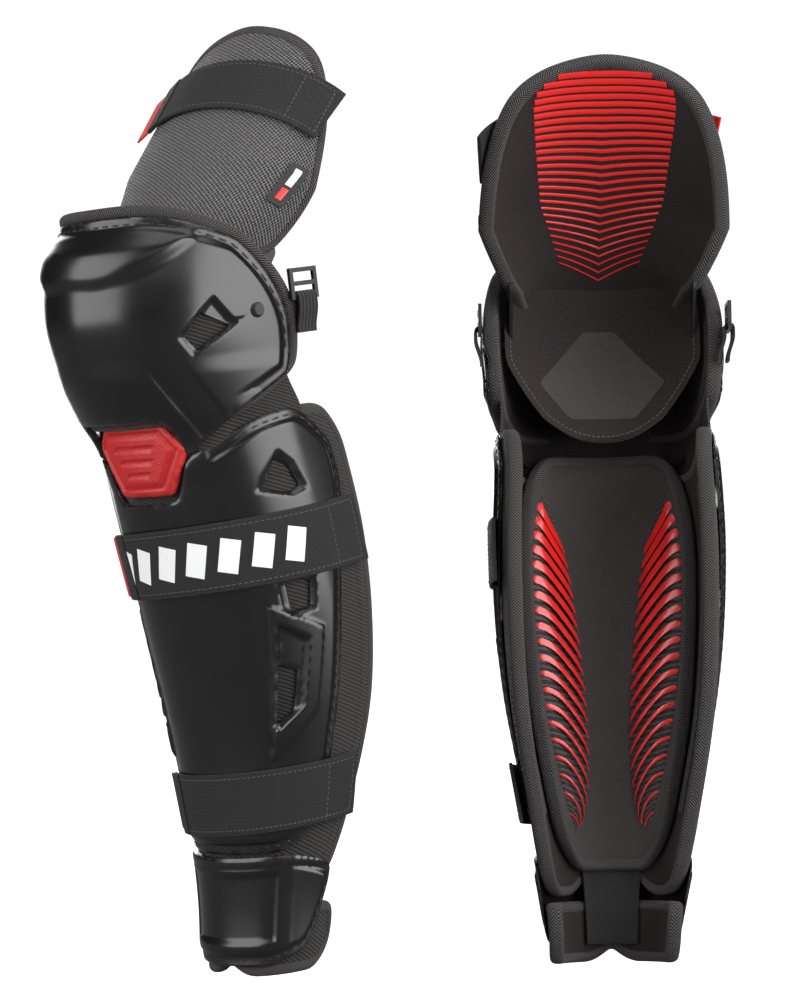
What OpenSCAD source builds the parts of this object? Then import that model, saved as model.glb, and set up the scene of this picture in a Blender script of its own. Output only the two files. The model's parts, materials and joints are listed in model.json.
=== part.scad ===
// Pair of ice hockey shin guards, senior size, shown bent as they are worn.
// Each guard is a shin shell on a foam base pad, a hinged knee cap, a hinged thigh pad,
// an ankle plate on its own pad, a height-adjustable liner and three hook-and-loop straps.
//
// A guard is drawn in its own frame: Z runs up the leg, the shin faces -Y, +X is the wearer's
// left, and Z = 0 is the lower edge. place_left() and place_right() stand the two side by side.

/* [Size] */
// Height of the knee pivot above the lower edge: the hockey size, 15 inches
shin_len = 381; // [350:1:460]
// Width over the base pad at the calf
calf_w = 132; // [110:1:160]
// Width over the base pad at the ankle
ankle_w = 84; // [70:1:100]
// Width over the base pad just below the knee
neck_w = 128; // [108:1:150]
// Width over the knee cap at its rivets
knee_w = 151; // [140:1:184]
// Reach of the knee cap in front of the leg's axis
knee_reach = 101; // [92:1:120]
// Length of the thigh pad above the rivets
thigh_len = 182; // [156:1:225]
// Width over the thigh pad
thigh_w = 152; // [127:1:182]
// Depth of the thigh pad's curve
thigh_depth = 48; // [40:1:56]
// Angle of the thigh pad behind the shin at rest
bend = 41; // [34:1:46]

/* [Layers] */
// Thickness of the plastic shells
shell_t = 2.6; // [2:0.1:3.4]
// Thickness of the foam pads
pad_t = 8; // [6:0.1:9.6]
// Thickness of the liner's flat pad
liner_t = 7; // [5:0.1:8.4]
// Height of the liner's two bolsters
bolster_h = 12; // [8:0.1:15]
// Thickness of the strap elastic
strap_t = 2.4; // [1.6:0.1:3]
// Width of the binding tape beyond a pad's edge
binding_w = 4; // [3:0.1:5]
// How far the binding stands proud of the pad on each face
binding_proud = 1.2; // [0.8:0.1:1.5]
// Air left between layers that are drawn separately
layer_gap = 0.8; // [0.6:0.1:1]

/* [Straps] */
// Width of the strap round the shin
shin_strap_w = 39; // [32:1:47]
// Middle of that strap below the knee pivot
shin_strap_drop = 138; // [132:1:148]
// Width of the strap round the ankle
ankle_strap_w = 36; // [28:1:40]
// Middle of that strap above the lower edge
ankle_strap_z = 101; // [96:1:108]
// Width of the strap round the thigh
thigh_strap_w = 36; // [30:1:45]
// Middle of that strap along the thigh pad
thigh_strap_h = 131; // [108:1:137]

/* [Hinges] */
// Radius of the rivet's shank
rivet_r = 2.5; // [2:0.1:3]
// Radius of the rivet's domed head
rivet_head_r = 5.6; // [4.6:0.1:7]
// Radial running clearance between a rivet and its hinge ear
hinge_clear = 0.06; // [0.03:0.01:0.09]
// Thickness of a hinge ear
ear_t = 2; // [1.5:0.1:2.4]
// Width of the webbing through a side ring
web_w = 14; // [11:1:17]

/* [Stance] */
// Turn of the left guard's shin towards the left
left_yaw = 45; // [20:1:50]
// Forward lean of the left guard
left_lean = 6; // [0:1:16]
// Forward lean of the right guard
right_lean = 5; // [0:1:16]
// Distance between the two guards
spacing = 198; // [190:1:230]
// How far the right guard is set behind the left
setback = 55; // [0:1:160]
// How much lower the right guard is held
right_drop = 11; // [0:1:30]

/* [Hidden] */
PIECES = ["shin_shell", "base_pad", "base_binding", "knee_gusset", "badge",
    "knee_cap", "knee_pad", "knee_binding", "hinge_rivets", "side_webbing", "side_rings",
    "thigh_pad", "thigh_binding", "knee_flap", "hinge_ears", "side_label",
    "thigh_strap", "thigh_strap_tab", "shin_strap", "shin_strap_tab", "ankle_strap", "ankle_strap_tab",
    "liner_pad", "liner_bolsters", "liner_binding", "hook_strips",
    "ankle_plate", "ankle_pad", "ankle_binding", "elastic_tab"];

SHELL = "#26272b";
CLOTH = "#1c1c1e";
TRIM = "#141416";
RED = "#c8252c";

left_roll = -2.5;            // tilt of the left guard to its side
right_roll = -0.8;           // and of the right guard
shell_in = layer_gap + 0.3;  // a shell's inner face, measured out from the pad under it
shell_out = shell_in + shell_t;
strap_in = shell_out + 1;    // a strap's inner face over the shell
strap_out = strap_in + strap_t;
wing_r = 200;                // radius to which the calf wings curl in
ankle_top = 70;              // top of the ankle plate, where the ankle section hinges
ankle_pad_top = 39;          // top of the ankle pad, just below the base pad's lobes
pad_low = 45;                // lowest point of the base pad's lobes
rim_rise = 55;               // knee cap's top edge above the pivot
tip_drop = 80;               // knee cap's lowest tips below the pivot
notch_drop = 57;             // knee cap's edge over the badge, below the pivot
shell_drop = 67;             // shin shell's highest edge below the pivot
badge_h = 44;                // height of the badge
pivot_y = -26;               // rivets in front of the leg's axis
liner_low = 60;              // lower edge of the liner
liner_drop = 71;             // upper edge of the liner below the pivot
SIDES = [-1, 1];

// ---- Smooth curves through a few knots ----

// Index of the last knot at or before x.
function knot(x, k, i = 0) = i >= len(k) - 2 || x < k[i + 1][0] ? i : knot(x, k, i + 1);

// Slope of a smooth curve at knot i.
function knot_slope(k, i) =
    let (a = max(i - 1, 0), b = min(i + 1, len(k) - 1))
    (k[b][1] - k[a][1]) / (k[b][0] - k[a][0]);

// Value at x of the smooth curve through knots [position, value], level beyond its ends.
function curve(x, k) =
    x <= k[0][0] ? k[0][1] :
    x >= k[len(k) - 1][0] ? k[len(k) - 1][1] :
    let (i = knot(x, k), h = k[i + 1][0] - k[i][0], t = (x - k[i][0]) / h)
    (2 * t ^ 3 - 3 * t ^ 2 + 1) * k[i][1] + (t ^ 3 - 2 * t ^ 2 + t) * h * knot_slope(k, i)
    + (3 * t ^ 2 - 2 * t ^ 3) * k[i + 1][1] + (t ^ 3 - t ^ 2) * h * knot_slope(k, i + 1);

function mix(a, b, t) = a + (b - a) * t;
function spread(n, a = 0, b = 1) = [for (i = [0:n]) mix(a, b, i / n)];
function mirrored(half) = concat([for (i = [len(half) - 1:-1:1]) -half[i]], half);

// ---- Cross-sections of the leg ----

// Half width, half depth and front line of the base pad's outer face at height z.
function shin_a(z) = curve(z / shin_len, [[0, ankle_w / 2 - 3], [0.11, ankle_w / 2],
    [0.22, mix(ankle_w, calf_w, 0.3) / 2], [0.42, mix(ankle_w, calf_w, 0.8) / 2],
    [0.64, calf_w / 2], [0.83, neck_w / 2]]);
function shin_b(z) = shin_a(z) * curve(z / shin_len, [[0, 0.9], [0.22, 0.92], [0.64, 0.91], [0.83, 0.97]]);
function shin_front(z) = curve(z / shin_len, [[0, -45], [0.11, -39], [0.22, -37], [0.42, -41],
    [0.64, -53], [0.83, -66]]);

// Point of the shin section at angle phi from the front. Past 90 degrees the wing runs straight
// back and curls in a little. off is measured out from the base pad's outer face.
function shin_pt(phi, z, off) =
    let (a = shin_a(z), b = shin_b(z), yc = shin_front(z) + b, side = sign(phi), p = abs(phi))
    p <= 90 ? [(a + off) * sin(phi), yc - (b + off) * cos(phi), z] :
    let (t = (p - 90) * PI / 180 * b)
    [side * (a - t ^ 2 / (2 * wing_r) + off), yc + t + off * t / wing_r, z];

// Knee section: a dome whose lower edge clears the shin shell.
neck_clear = shell_out + 1 + shell_t;
function knee_a(z) = curve(z - shin_len, [[-80, neck_w / 2 + neck_clear],
    [-48, mix(neck_w, knee_w, 0.6) / 2 + 1], [-6, knee_w / 2], [20, knee_w / 2], [55, knee_w / 2 - 4.5]]);
function knee_b(z) = curve(z - shin_len, [[-80, -shin_front(shin_len - tip_drop) + neck_clear],
    [-64, -shin_front(shin_len - notch_drop) + neck_clear + 3], [-31, knee_reach - 8], [-6, knee_reach - 1],
    [9, knee_reach], [35, knee_reach - 5], [55, knee_reach - 17]]);
function knee_pt(phi, z, off) =
    let (side = sign(phi), t = max(0, abs(phi) - 90) * PI / 180 * knee_a(z))
    [(knee_a(z) + off) * (t > 0 ? side : sin(phi)), t > 0 ? t : -(knee_b(z) + off) * cos(phi), z];

// Thigh section, in a frame at the rivets whose third axis runs up the thigh pad.
// Its half width narrows towards the rivets, to go inside the knee pad.
thigh_inset = shell_t + layer_gap + pad_t + 4.5 + ear_t;
function thigh_a(h) = curve(h, [[36, knee_w / 2 - thigh_inset], [82, thigh_w / 2]]);
function thigh_reach(h) = 90 - curve(h / thigh_len, [[0.37, 0], [0.64, 17], [0.82, 34], [0.91, 49], [1, 84]]);
function tilt(p) = [p[0], pivot_y + p[1] * cos(bend) + p[2] * sin(bend),
    shin_len - p[1] * sin(bend) + p[2] * cos(bend)];
function thigh_pt(phi, h, off) =
    tilt([(thigh_a(h) + off) * sin(phi), 6 * (h / thigh_len) ^ 2 - (thigh_depth + off) * cos(phi), h]);

// ---- Solids built on a surface ----

// A curved plate. f(s, v, k) is a point of its inner face (k = 0) or outer face (k = 1), over the
// values ss and vs, and open(i, j) tells which cells of that grid are windows.
module plate(f, ss, vs, open = function (i, j) false) {
    n = len(ss);
    m = len(vs);
    points = [for (k = [0, 1]) for (v = vs) for (s = ss) f(s, v, k)];
    at = function (i, j, k) (k * m + j) * n + i;
    solid = function (i, j) i >= 0 && j >= 0 && i < n - 1 && j < m - 1 && !open(i, j);
    wall = function (i0, j0, i1, j1) [
        [at(i0, j0, 0), at(i1, j1, 0), at(i1, j1, 1)], [at(i0, j0, 0), at(i1, j1, 1), at(i0, j0, 1)]];
    faces = [for (j = [0:m - 2]) for (i = [0:n - 2]) if (solid(i, j)) each concat(
        [[at(i, j, 0), at(i + 1, j, 0), at(i + 1, j + 1, 0)],
         [at(i, j, 0), at(i + 1, j + 1, 0), at(i, j + 1, 0)],
         [at(i, j, 1), at(i + 1, j + 1, 1), at(i + 1, j, 1)],
         [at(i, j, 1), at(i, j + 1, 1), at(i + 1, j + 1, 1)]],
        solid(i, j - 1) ? [] : wall(i + 1, j, i, j),
        solid(i + 1, j) ? [] : wall(i + 1, j + 1, i + 1, j),
        solid(i, j + 1) ? [] : wall(i, j + 1, i + 1, j + 1),
        solid(i - 1, j) ? [] : wall(i, j, i, j + 1))];
    polyhedron(points, faces);
}

// The border of the unit grid, walked once round, as [s, v] pairs.
function border(ss, vs) = let (n = len(ss), m = len(vs)) concat(
    [for (i = [0:n - 2]) [ss[i], vs[0]]], [for (j = [0:m - 2]) [ss[n - 1], vs[j]]],
    [for (i = [n - 1:-1:1]) [ss[i], vs[m - 1]]], [for (j = [m - 1:-1:1]) [ss[0], vs[j]]]);

// Binding tape round a plate's edge: it meets the edge, stands proud of both faces, and
// reaches binding_w beyond. g(s, v, off) is a point of the pad's surface, wide and tall its size,
// and low and high are the offsets of its two faces.
module binding(g, ss, vs, wide, tall, low, high) {
    way = border(ss, vs);
    n = len(way);
    out = function (p) [p[0] * (1 + 2 * binding_w / wide), 0.5 + (p[1] - 0.5) * (1 + 2 * binding_w / tall)];
    a = low - binding_proud;
    b = high + binding_proud;
    points = [for (p = way) each [g(p[0], p[1], a), g(out(p)[0], out(p)[1], a + 1),
        g(out(p)[0], out(p)[1], b - 1), g(p[0], p[1], b)]];
    faces = [for (i = [0:n - 1]) for (c = [0:3])
        let (e = (c + 1) % 4, i2 = (i + 1) % n, p = 4 * i + c, q = 4 * i + e, r = 4 * i2 + c, t = 4 * i2 + e)
        each [[p, q, t], [p, t, r]]];
    polyhedron(points, faces);
}

// ---- Shin section ----

// Angle from the front at which the shell's side edge lies.
function shell_edge(z) = curve(z / shin_len, [[0.16, 78], [0.24, 80], [0.33, 80], [0.41, 85], [0.52, 93],
    [0.61, 101], [0.73, 113], [0.79, 112]]);
function shell_low(s) = ankle_top + 2 + 22 * max(0, (abs(s) - 0.5) / 0.5) ^ 2;
function shell_high(s) = shin_len - curve(abs(s), [[0.17, notch_drop + badge_h + 3], [0.34, tip_drop + 2],
    [0.46, 73], [0.62, shell_drop], [0.84, 70], [1, 94]]);
function shell_pt(s, v, k) =
    let (z = mix(shell_low(s), shell_high(s), v))
    shin_pt(s * shell_edge(z), z, k == 0 ? shell_in : shell_out);
SHELL_S = mirrored([0, 0.17, 0.26, 0.34, 0.45, 0.55, 0.7, 0.86, 1]);
SHELL_V = [0, 0.12, 0.26, 0.41, 0.53, 0.61, 0.77, 0.86, 1];
VENT_ROWS = [2, 4, 6];       // rows of the shell's grid that hold a vent

module shin_shell() {
    last = len(SHELL_S) - 2;
    color(SHELL) plate(function (s, v, k) shell_pt(s, v, k), SHELL_S, SHELL_V,
        function (i, j) (i == 2 || i == last - 2) && len(search(j, VENT_ROWS)) > 0);
}

// Angle of the base pad's side edge: wide calf wings, tapering to the ankle.
function wing_edge(z) = curve(z / shin_len, [[0.1, 86], [0.17, 92], [0.22, 99], [0.31, 108],
    [0.48, 118], [0.64, 125], [0.83, 126]]);
function base_low(s) = pad_low + 22 * max(0, 1 - abs(s) / 0.5) + 16 * max(0, (abs(s) - 0.7) / 0.3) ^ 2;
function base_high(s) = shin_len - curve(abs(s), [[0, 70], [0.5, 65], [0.8, 60], [0.93, 62], [1, 78]]);
function base_pt(s, v, off) =
    let (z = mix(base_low(s), base_high(s), v))
    shin_pt(s * wing_edge(z), z, off);
BASE_S = mirrored([0, 0.15, 0.3, 0.45, 0.6, 0.72, 0.86, 1]);
BASE_V = spread(9);

module base_pad() color(CLOTH)
    plate(function (s, v, k) base_pt(s, v, k == 0 ? -pad_t : 0), BASE_S, BASE_V);

module base_binding() color(TRIM)
    binding(function (s, v, off) base_pt(s, v, off), BASE_S, BASE_V, 2 * calf_w, shin_len - 110, -pad_t, 0);

// Mesh cloth between the base pad and the knee pad, drawn in so that the knee pad clears it.
gusset_low = 55;             // its lower edge below the pivot
gusset_high = 36;
module knee_gusset() color(CLOTH) plate(function (s, v, k)
    let (drop = mix(gusset_low, gusset_high, v))
    knee_pt(86 * s, shin_len - drop, knee_pad_in - binding_proud - 1 - (k == 0 ? 2.5 : 0)),
    spread(12, -1, 1), spread(2));

// Moulded badge in the gap between the knee cap's notch and the shell's notch.
function badge_edge(v) = curve(v, [[0, 15], [0.6, 27], [1, 20]]);
badge_t = 6;
module badge() color(RED) plate(function (s, v, k)
    shin_pt(s * badge_edge(v), shin_len - notch_drop - badge_h + (badge_h - 4.5) * v,
        k == 0 ? binding_proud + 0.5 : badge_t * (1 - 0.25 * s ^ 2)),
    spread(6, -1, 1), [0, 0.3, 0.62, 0.85, 1]);

// ---- Knee section ----

function cap_high(s) = shin_len + rim_rise - 57 * abs(s) ^ 5;
function cap_low(s) = shin_len - (abs(s) <= 0.33 ? notch_drop :
    abs(s) <= 0.455 ? mix(notch_drop, tip_drop, (abs(s) - 0.33) / 0.125) :
    tip_drop - 73 * (abs(s) - 0.455) - 8 * max(0, (abs(s) - 0.8) / 0.2) ^ 2);
cap_wrap = 86;               // angle from the front to the cap's rear edge
function cap_pt(s, v, k) = knee_pt(cap_wrap * s, mix(cap_low(s), cap_high(s), v), k == 0 ? -shell_t : 0);
CAP_S = mirrored([0, 0.17, 0.33, 0.455, 0.56, 0.66, 0.78, 0.9, 1]);
CAP_V = [0, 0.12, 0.24, 0.36, 0.54, 0.7, 0.82, 0.92, 1];

module knee_cap() {
    last = len(CAP_S) - 2;
    color(SHELL) plate(function (s, v, k) cap_pt(s, v, k), CAP_S, CAP_V,
        function (i, j) (i == 3 || i == last - 3) && j == 3);
}

knee_pad_out = -shell_t - layer_gap - 0.9;
knee_pad_in = knee_pad_out - pad_t;
function knee_pad_high(s) = shin_len + rim_rise + 5 - 55 * abs(s) ^ 5;
function knee_pad_low(s) = shin_len - 56 + 24 * max(0, (abs(s) - 0.6) / 0.4) ^ 2;
function knee_pad_pt(s, v, off) = knee_pt(91 * s, mix(knee_pad_low(s), knee_pad_high(s), v), off);
KNEE_S = mirrored([0, 0.2, 0.4, 0.58, 0.74, 0.88, 1]);
KNEE_V = [0, 0.16, 0.32, 0.48, 0.64, 0.77, 0.89, 1];

module knee_pad() color(CLOTH)
    plate(function (s, v, k) knee_pad_pt(s, v, k == 0 ? knee_pad_in : knee_pad_out), KNEE_S, KNEE_V);

module knee_binding() color(TRIM)
    binding(function (s, v, off) knee_pad_pt(s, v, off), KNEE_S, KNEE_V, knee_w * 1.8, rim_rise + 56,
        knee_pad_in, knee_pad_out + 0.5 - binding_proud);

// The rivet goes through the cap, the knee pad and the hinge ear on the thigh pad.
ear_r = 8;
head_t = 1.7;
head_gap = 0.5;              // end play between the inner head and the ear
ear_x = (knee_w / 2 + knee_pad_in) * sqrt(1 - ((pivot_y - ear_r - 2) / (knee_reach + knee_pad_in)) ^ 2)
    - 0.6 - ear_t;
head_x = knee_w / 2 * sqrt(1 - (pivot_y / knee_reach) ^ 2) - 0.6;   // where its outer head sits on the cap
module at_rivet(side)
    translate([0, pivot_y, shin_len]) mirror([side < 0 ? 1 : 0, 0, 0]) rotate([0, 90, 0]) children();

module hinge_rivets() color(SHELL) for (side = SIDES) at_rivet(side) {
    translate([0, 0, ear_x - head_gap - head_t])
        cylinder(r = rivet_r, h = head_x - ear_x + head_gap + 2 * head_t, $fn = 48);
    translate([0, 0, ear_x - head_gap - head_t]) cylinder(r = rivet_head_r, h = head_t, $fn = 48);
    translate([0, 0, head_x]) cylinder(r1 = rivet_head_r, r2 = rivet_head_r * 0.6, h = 2.2, $fn = 48);
}

// A ring stitched to the knee pad's side edge, and webbing doubled through it.
ring_t = 2.2;
ring_bar = 2.6;
ring_slot = 5;
ring_x = knee_w / 2 + 0.4;    // middle of the ring's plate
ring_y = 8;
ring_z = shin_len + 4;      // middle of its lower bar
web_t = 1.6;
web_drop = 20;
module side_rings() color(TRIM) for (side = SIDES)
    mirror([side < 0 ? 1 : 0, 0, 0]) translate([ring_x - ring_t / 2, ring_y, ring_z]) rotate([90, 0, 90])
        linear_extrude(ring_t) difference() {
            translate([-web_w / 2 - 0.8 - ring_bar, -ring_bar / 2])
                square([web_w + 1.6 + 2 * ring_bar, 2 * ring_slot + 3 * ring_bar]);
            for (row = [0, 1]) translate([-web_w / 2 - 0.8, ring_bar / 2 + row * (ring_slot + ring_bar)])
                square([web_w + 1.6, ring_slot]);
        }

module side_webbing() color(CLOTH) for (side = SIDES)
    mirror([side < 0 ? 1 : 0, 0, 0]) translate([ring_x, ring_y + web_w / 2, ring_z])
        rotate([90, 0, 0]) linear_extrude(web_w) {
            fold = ring_t / 2 + 0.9;
            difference() {
                union() {
                    circle(r = fold + web_t, $fn = 48);
                    translate([-fold - web_t, -web_drop]) square([2 * (fold + web_t), web_drop]);
                }
                circle(r = fold, $fn = 48);
                translate([-fold, -web_drop]) square([2 * fold, web_drop]);
            }
        }

// ---- Thigh section ----

thigh_low = 40;              // lower corners of the thigh pad along its axis
function thigh_high(s) = thigh_len * (0.985 - 0.03 * abs(s));
function thigh_foot(s) = mix(-20, thigh_low, min(1, abs(s) / 0.95) ^ 2);
function thigh_pad_pt(s, v, off) =
    let (h = mix(thigh_foot(s), thigh_high(s), v))
    thigh_pt(s * thigh_reach(h), h, off);
THIGH_S = spread(14, -1, 1);
THIGH_V = [0, 0.2, 0.4, 0.58, 0.74, 0.86, 0.94, 1];

module thigh_pad() color(CLOTH)
    plate(function (s, v, k) thigh_pad_pt(s, v, k == 0 ? -pad_t : 0), THIGH_S, THIGH_V);

module thigh_binding() color(TRIM)
    binding(function (s, v, off) thigh_pad_pt(s, v, off), THIGH_S, THIGH_V, thigh_w * 1.3, thigh_len - 10,
        -pad_t, 0);

// Tongue that hangs from the thigh pad, inside the knee cap.
flap_t = 5;
flap_w = 98;
flap_high = shin_len + 2;
flap_low = shin_len - 56;
function flap_pt(s, v, k) =
    let (z = mix(flap_low, flap_high, v), w = flap_w / 2 * sqrt(1 - (0.985 * (1 - v)) ^ 2), x = w * s)
    [x, mix(-20, -54, v) + 24 * (2 * x / flap_w) ^ 2 + (k == 0 ? flap_t : 0), z];
module knee_flap() color(CLOTH)
    plate(function (s, v, k) flap_pt(s, v, k), spread(8, -1, 1), [0, 0.06, 0.2, 0.45, 0.72, 1]);

// Flat ears that carry the thigh pad on the rivets.
module hinge_ears() color(SHELL) for (side = SIDES) at_rivet(side) translate([0, 0, ear_x])
    linear_extrude(ear_t) difference() {
        hull() {
            circle(r = ear_r, $fn = 32);
            translate([-42 * cos(bend), 42 * sin(bend)]) circle(r = 6, $fn = 32);
        }
        circle(r = rivet_r + hinge_clear, $fn = 64);
    }

label_t = 0.9;
module side_label() color(TRIM) plate(function (s, v, k)
    thigh_pt(70 + 6 * s, mix(62, 88, v), layer_gap + 0.6 + (k == 0 ? 0 : label_t)), [-1, 0, 1], [0, 1]);

// ---- Straps ----

free_end = -40;              // angle at which a strap's free end leaves the shell
tab_end = -54;
// A strap follows the shell from the wing's edge and leaves it in a straight line near its free end.
function stand_off(phi, r) = phi > free_end + 6 ? 0 : r * (1 / cos(free_end + 6 - phi) - 1);
shin_strap_z = shin_len - shin_strap_drop;
function shin_band(phi, v, k, zc, rise, w, inner, outer) =
    let (z = zc + rise * phi / 120 + (v - 0.5) * w)
    shin_pt(phi, z, (k == 0 ? inner : outer) + stand_off(phi, shin_a(z)));
tab_inset = 0.4;             // how far the tab is thinner than its strap

module shin_strap() color(TRIM) plate(function (s, v, k)
    shin_band(s, v, k, shin_strap_z, 8, shin_strap_w, strap_in, strap_out),
    spread(20, free_end, wing_edge(shin_strap_z) - 4), [0, 1]);

module shin_strap_tab() color(RED) plate(function (s, v, k)
    shin_band(s, v, k, shin_strap_z, 8, shin_strap_w - 3, strap_in + tab_inset, strap_out - tab_inset),
    spread(2, tab_end, free_end - 0.4), [0, 1]);

module ankle_strap() color(TRIM) plate(function (s, v, k)
    shin_band(s, v, k, ankle_strap_z, 5, ankle_strap_w, strap_in, strap_out),
    spread(18, free_end, wing_edge(ankle_strap_z) - 4), [0, 1]);

module ankle_strap_tab() color(TRIM) plate(function (s, v, k)
    shin_band(s, v, k, ankle_strap_z, 5, ankle_strap_w - 3, strap_in + tab_inset, strap_out - tab_inset),
    spread(2, tab_end, free_end - 0.4), [0, 1]);

// The thigh strap lies on the cloth, clear of the binding at the pad's edge.
thigh_strap_in = 2.2;
function thigh_band(phi, v, k, w, inner, outer) =
    let (h = thigh_strap_h - 10 * (phi / 90) ^ 2 + (v - 0.5) * w)
    thigh_pt(phi, h, (k == 0 ? inner : outer) + stand_off(phi, thigh_w / 2));

module thigh_strap() color(TRIM) plate(function (s, v, k)
    thigh_band(s, v, k, thigh_strap_w, thigh_strap_in, thigh_strap_in + strap_t),
    spread(16, free_end, thigh_reach(thigh_strap_h) + 1), [0, 1]);

module thigh_strap_tab() color(RED) plate(function (s, v, k)
    thigh_band(s, v, k, thigh_strap_w - 3, thigh_strap_in + tab_inset, thigh_strap_in + strap_t - tab_inset),
    spread(2, tab_end, free_end - 0.4), [0, 1]);

// ---- Liner ----

liner_out = -pad_t - binding_proud - 1.2;   // its face towards the base pad
liner_in = liner_out - liner_t;
function liner_edge(z) = curve(z / shin_len, [[0.16, 40], [0.2, 58], [0.26, 64], [0.45, 63],
    [0.68, 61], [0.78, 50], [0.815, 38]]);
function liner_pt(s, v, off) =
    let (z = mix(liner_low, shin_len - liner_drop, v))
    shin_pt(s * liner_edge(z), z, off);
LINER_S = spread(8, -1, 1);
LINER_V = [0, 0.08, 0.2, 0.4, 0.6, 0.8, 0.92, 1];

module liner_pad() color(CLOTH)
    plate(function (s, v, k) liner_pt(s, v, k == 0 ? liner_in : liner_out), LINER_S, LINER_V);

module liner_binding() color(TRIM)
    binding(function (s, v, off) liner_pt(s, v, off), LINER_S, LINER_V, calf_w * 0.95,
        shin_len - liner_drop - liner_low, liner_in, liner_out - 0.4);

// Two crescent bolsters beside the shin bone.
function bolster_pt(side, s, v, k) =
    let (z = mix(liner_low + 26, shin_len - liner_drop - 26, v), belly = sin(180 * mix(0.06, 0.94, v)),
        phi = side * (mix(42, 47, v) + 14 * s * belly),
        crown = k == 1 ? 0 : 1.5 + bolster_h * (1 - s ^ 2) * belly ^ 0.7)
    shin_pt(phi, z, liner_in - 1 - crown);
module liner_bolsters() color(RED) for (side = SIDES)
    plate(function (s, v, k) bolster_pt(side, side * s, v, k), spread(4, -1, 1), spread(8));

// Hook strips on the liner's back, which grip the base pad's brushed lining.
module hook_strips() color(TRIM) for (side = SIDES)
    plate(function (s, v, k) shin_pt(side * 30 + 9 * s, mix(liner_low + 30, shin_len - liner_drop - 30, v),
        liner_out + (k == 0 ? 0.9 : 1.5)), [-1, 1], spread(5));

// ---- Ankle section ----

function plate_edge(z) = curve(z, [[8, 60], [20, 78], [40, 88], [58, 90], [ankle_top, 82]]);
function plate_low(s) = 8 + 6 * max(0, (abs(s) - 0.7) / 0.3);
function plate_high(s) = ankle_top - 10 * max(0, (abs(s) - 0.6) / 0.4) ^ 2;
module ankle_plate() color(SHELL) plate(function (s, v, k)
    let (z = mix(plate_low(s), plate_high(s), v))
    shin_pt(s * plate_edge(z), z, binding_proud + 0.5 + (k == 0 ? 0 : shell_t)),
    spread(12, -1, 1), spread(4));

function ankle_edge(z) = curve(z, [[0, 76], [12, 98], [30, 102], [ankle_pad_top, 98]]);
function ankle_low(s) = 4 + 10 * max(0, 1 - abs(s) / 0.35) ^ 2;
function ankle_pt(s, v, off) =
    let (z = mix(ankle_low(s), ankle_pad_top - binding_w, v))
    shin_pt(s * ankle_edge(z), z, off);
ANKLE_S = spread(12, -1, 1);
ANKLE_V = spread(3);
module ankle_pad() color(CLOTH)
    plate(function (s, v, k) ankle_pt(s, v, k == 0 ? -pad_t : -1), ANKLE_S, ANKLE_V);

module ankle_binding() color(TRIM)
    binding(function (s, v, off) ankle_pt(s, v, off), ANKLE_S, ANKLE_V, ankle_w * 1.8, ankle_pad_top - 8,
        -pad_t, -1.2);

// Elastic tab sewn to the ankle pad, which runs up towards the liner's lower edge.
tab_t = 1.6;
module elastic_tab() color(CLOTH) plate(function (s, v, k)
    let (z = mix(14, pad_low + 5, v))
    shin_pt(s * 32, z, -pad_t - binding_proud - 0.6 - (k == 0 ? tab_t : 0)), spread(4, -1, 1), spread(4));

// ---- The pair ----

module place_left() rotate([0, left_roll, 0]) rotate([0, 0, -left_yaw]) rotate([left_lean, 0, 0]) children();
module place_right()
    translate([spacing, setback, -right_drop])
        rotate([0, right_roll, 0]) rotate([0, 0, 180]) rotate([right_lean, 0, 0]) children();

place_left() shin_shell();  // left_shin_shell
place_left() base_pad();  // left_base_pad
place_left() base_binding();  // left_base_binding
place_left() knee_gusset();  // left_knee_gusset
place_left() badge();  // left_badge
place_left() knee_cap();  // left_knee_cap
place_left() knee_pad();  // left_knee_pad
place_left() knee_binding();  // left_knee_binding
place_left() hinge_rivets();  // left_hinge_rivets
place_left() side_webbing();  // left_side_webbing
place_left() side_rings();  // left_side_rings
place_left() thigh_pad();  // left_thigh_pad
place_left() thigh_binding();  // left_thigh_binding
place_left() knee_flap();  // left_knee_flap
place_left() hinge_ears();  // left_hinge_ears
place_left() side_label();  // left_side_label
place_left() thigh_strap();  // left_thigh_strap
place_left() thigh_strap_tab();  // left_thigh_strap_tab
place_left() shin_strap();  // left_shin_strap
place_left() shin_strap_tab();  // left_shin_strap_tab
place_left() ankle_strap();  // left_ankle_strap
place_left() ankle_strap_tab();  // left_ankle_strap_tab
place_left() liner_pad();  // left_liner_pad
place_left() liner_bolsters();  // left_liner_bolsters
place_left() liner_binding();  // left_liner_binding
place_left() hook_strips();  // left_hook_strips
place_left() ankle_plate();  // left_ankle_plate
place_left() ankle_pad();  // left_ankle_pad
place_left() ankle_binding();  // left_ankle_binding
place_left() elastic_tab();  // left_elastic_tab
place_right() shin_shell();  // right_shin_shell
place_right() base_pad();  // right_base_pad
place_right() base_binding();  // right_base_binding
place_right() knee_gusset();  // right_knee_gusset
place_right() badge();  // right_badge
place_right() knee_cap();  // right_knee_cap
place_right() knee_pad();  // right_knee_pad
place_right() knee_binding();  // right_knee_binding
place_right() hinge_rivets();  // right_hinge_rivets
place_right() side_webbing();  // right_side_webbing
place_right() side_rings();  // right_side_rings
place_right() thigh_pad();  // right_thigh_pad
place_right() thigh_binding();  // right_thigh_binding
place_right() knee_flap();  // right_knee_flap
place_right() hinge_ears();  // right_hinge_ears
place_right() side_label();  // right_side_label
place_right() thigh_strap();  // right_thigh_strap
place_right() thigh_strap_tab();  // right_thigh_strap_tab
place_right() shin_strap();  // right_shin_strap
place_right() shin_strap_tab();  // right_shin_strap_tab
place_right() ankle_strap();  // right_ankle_strap
place_right() ankle_strap_tab();  // right_ankle_strap_tab
place_right() liner_pad();  // right_liner_pad
place_right() liner_bolsters();  // right_liner_bolsters
place_right() liner_binding();  // right_liner_binding
place_right() hook_strips();  // right_hook_strips
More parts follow.
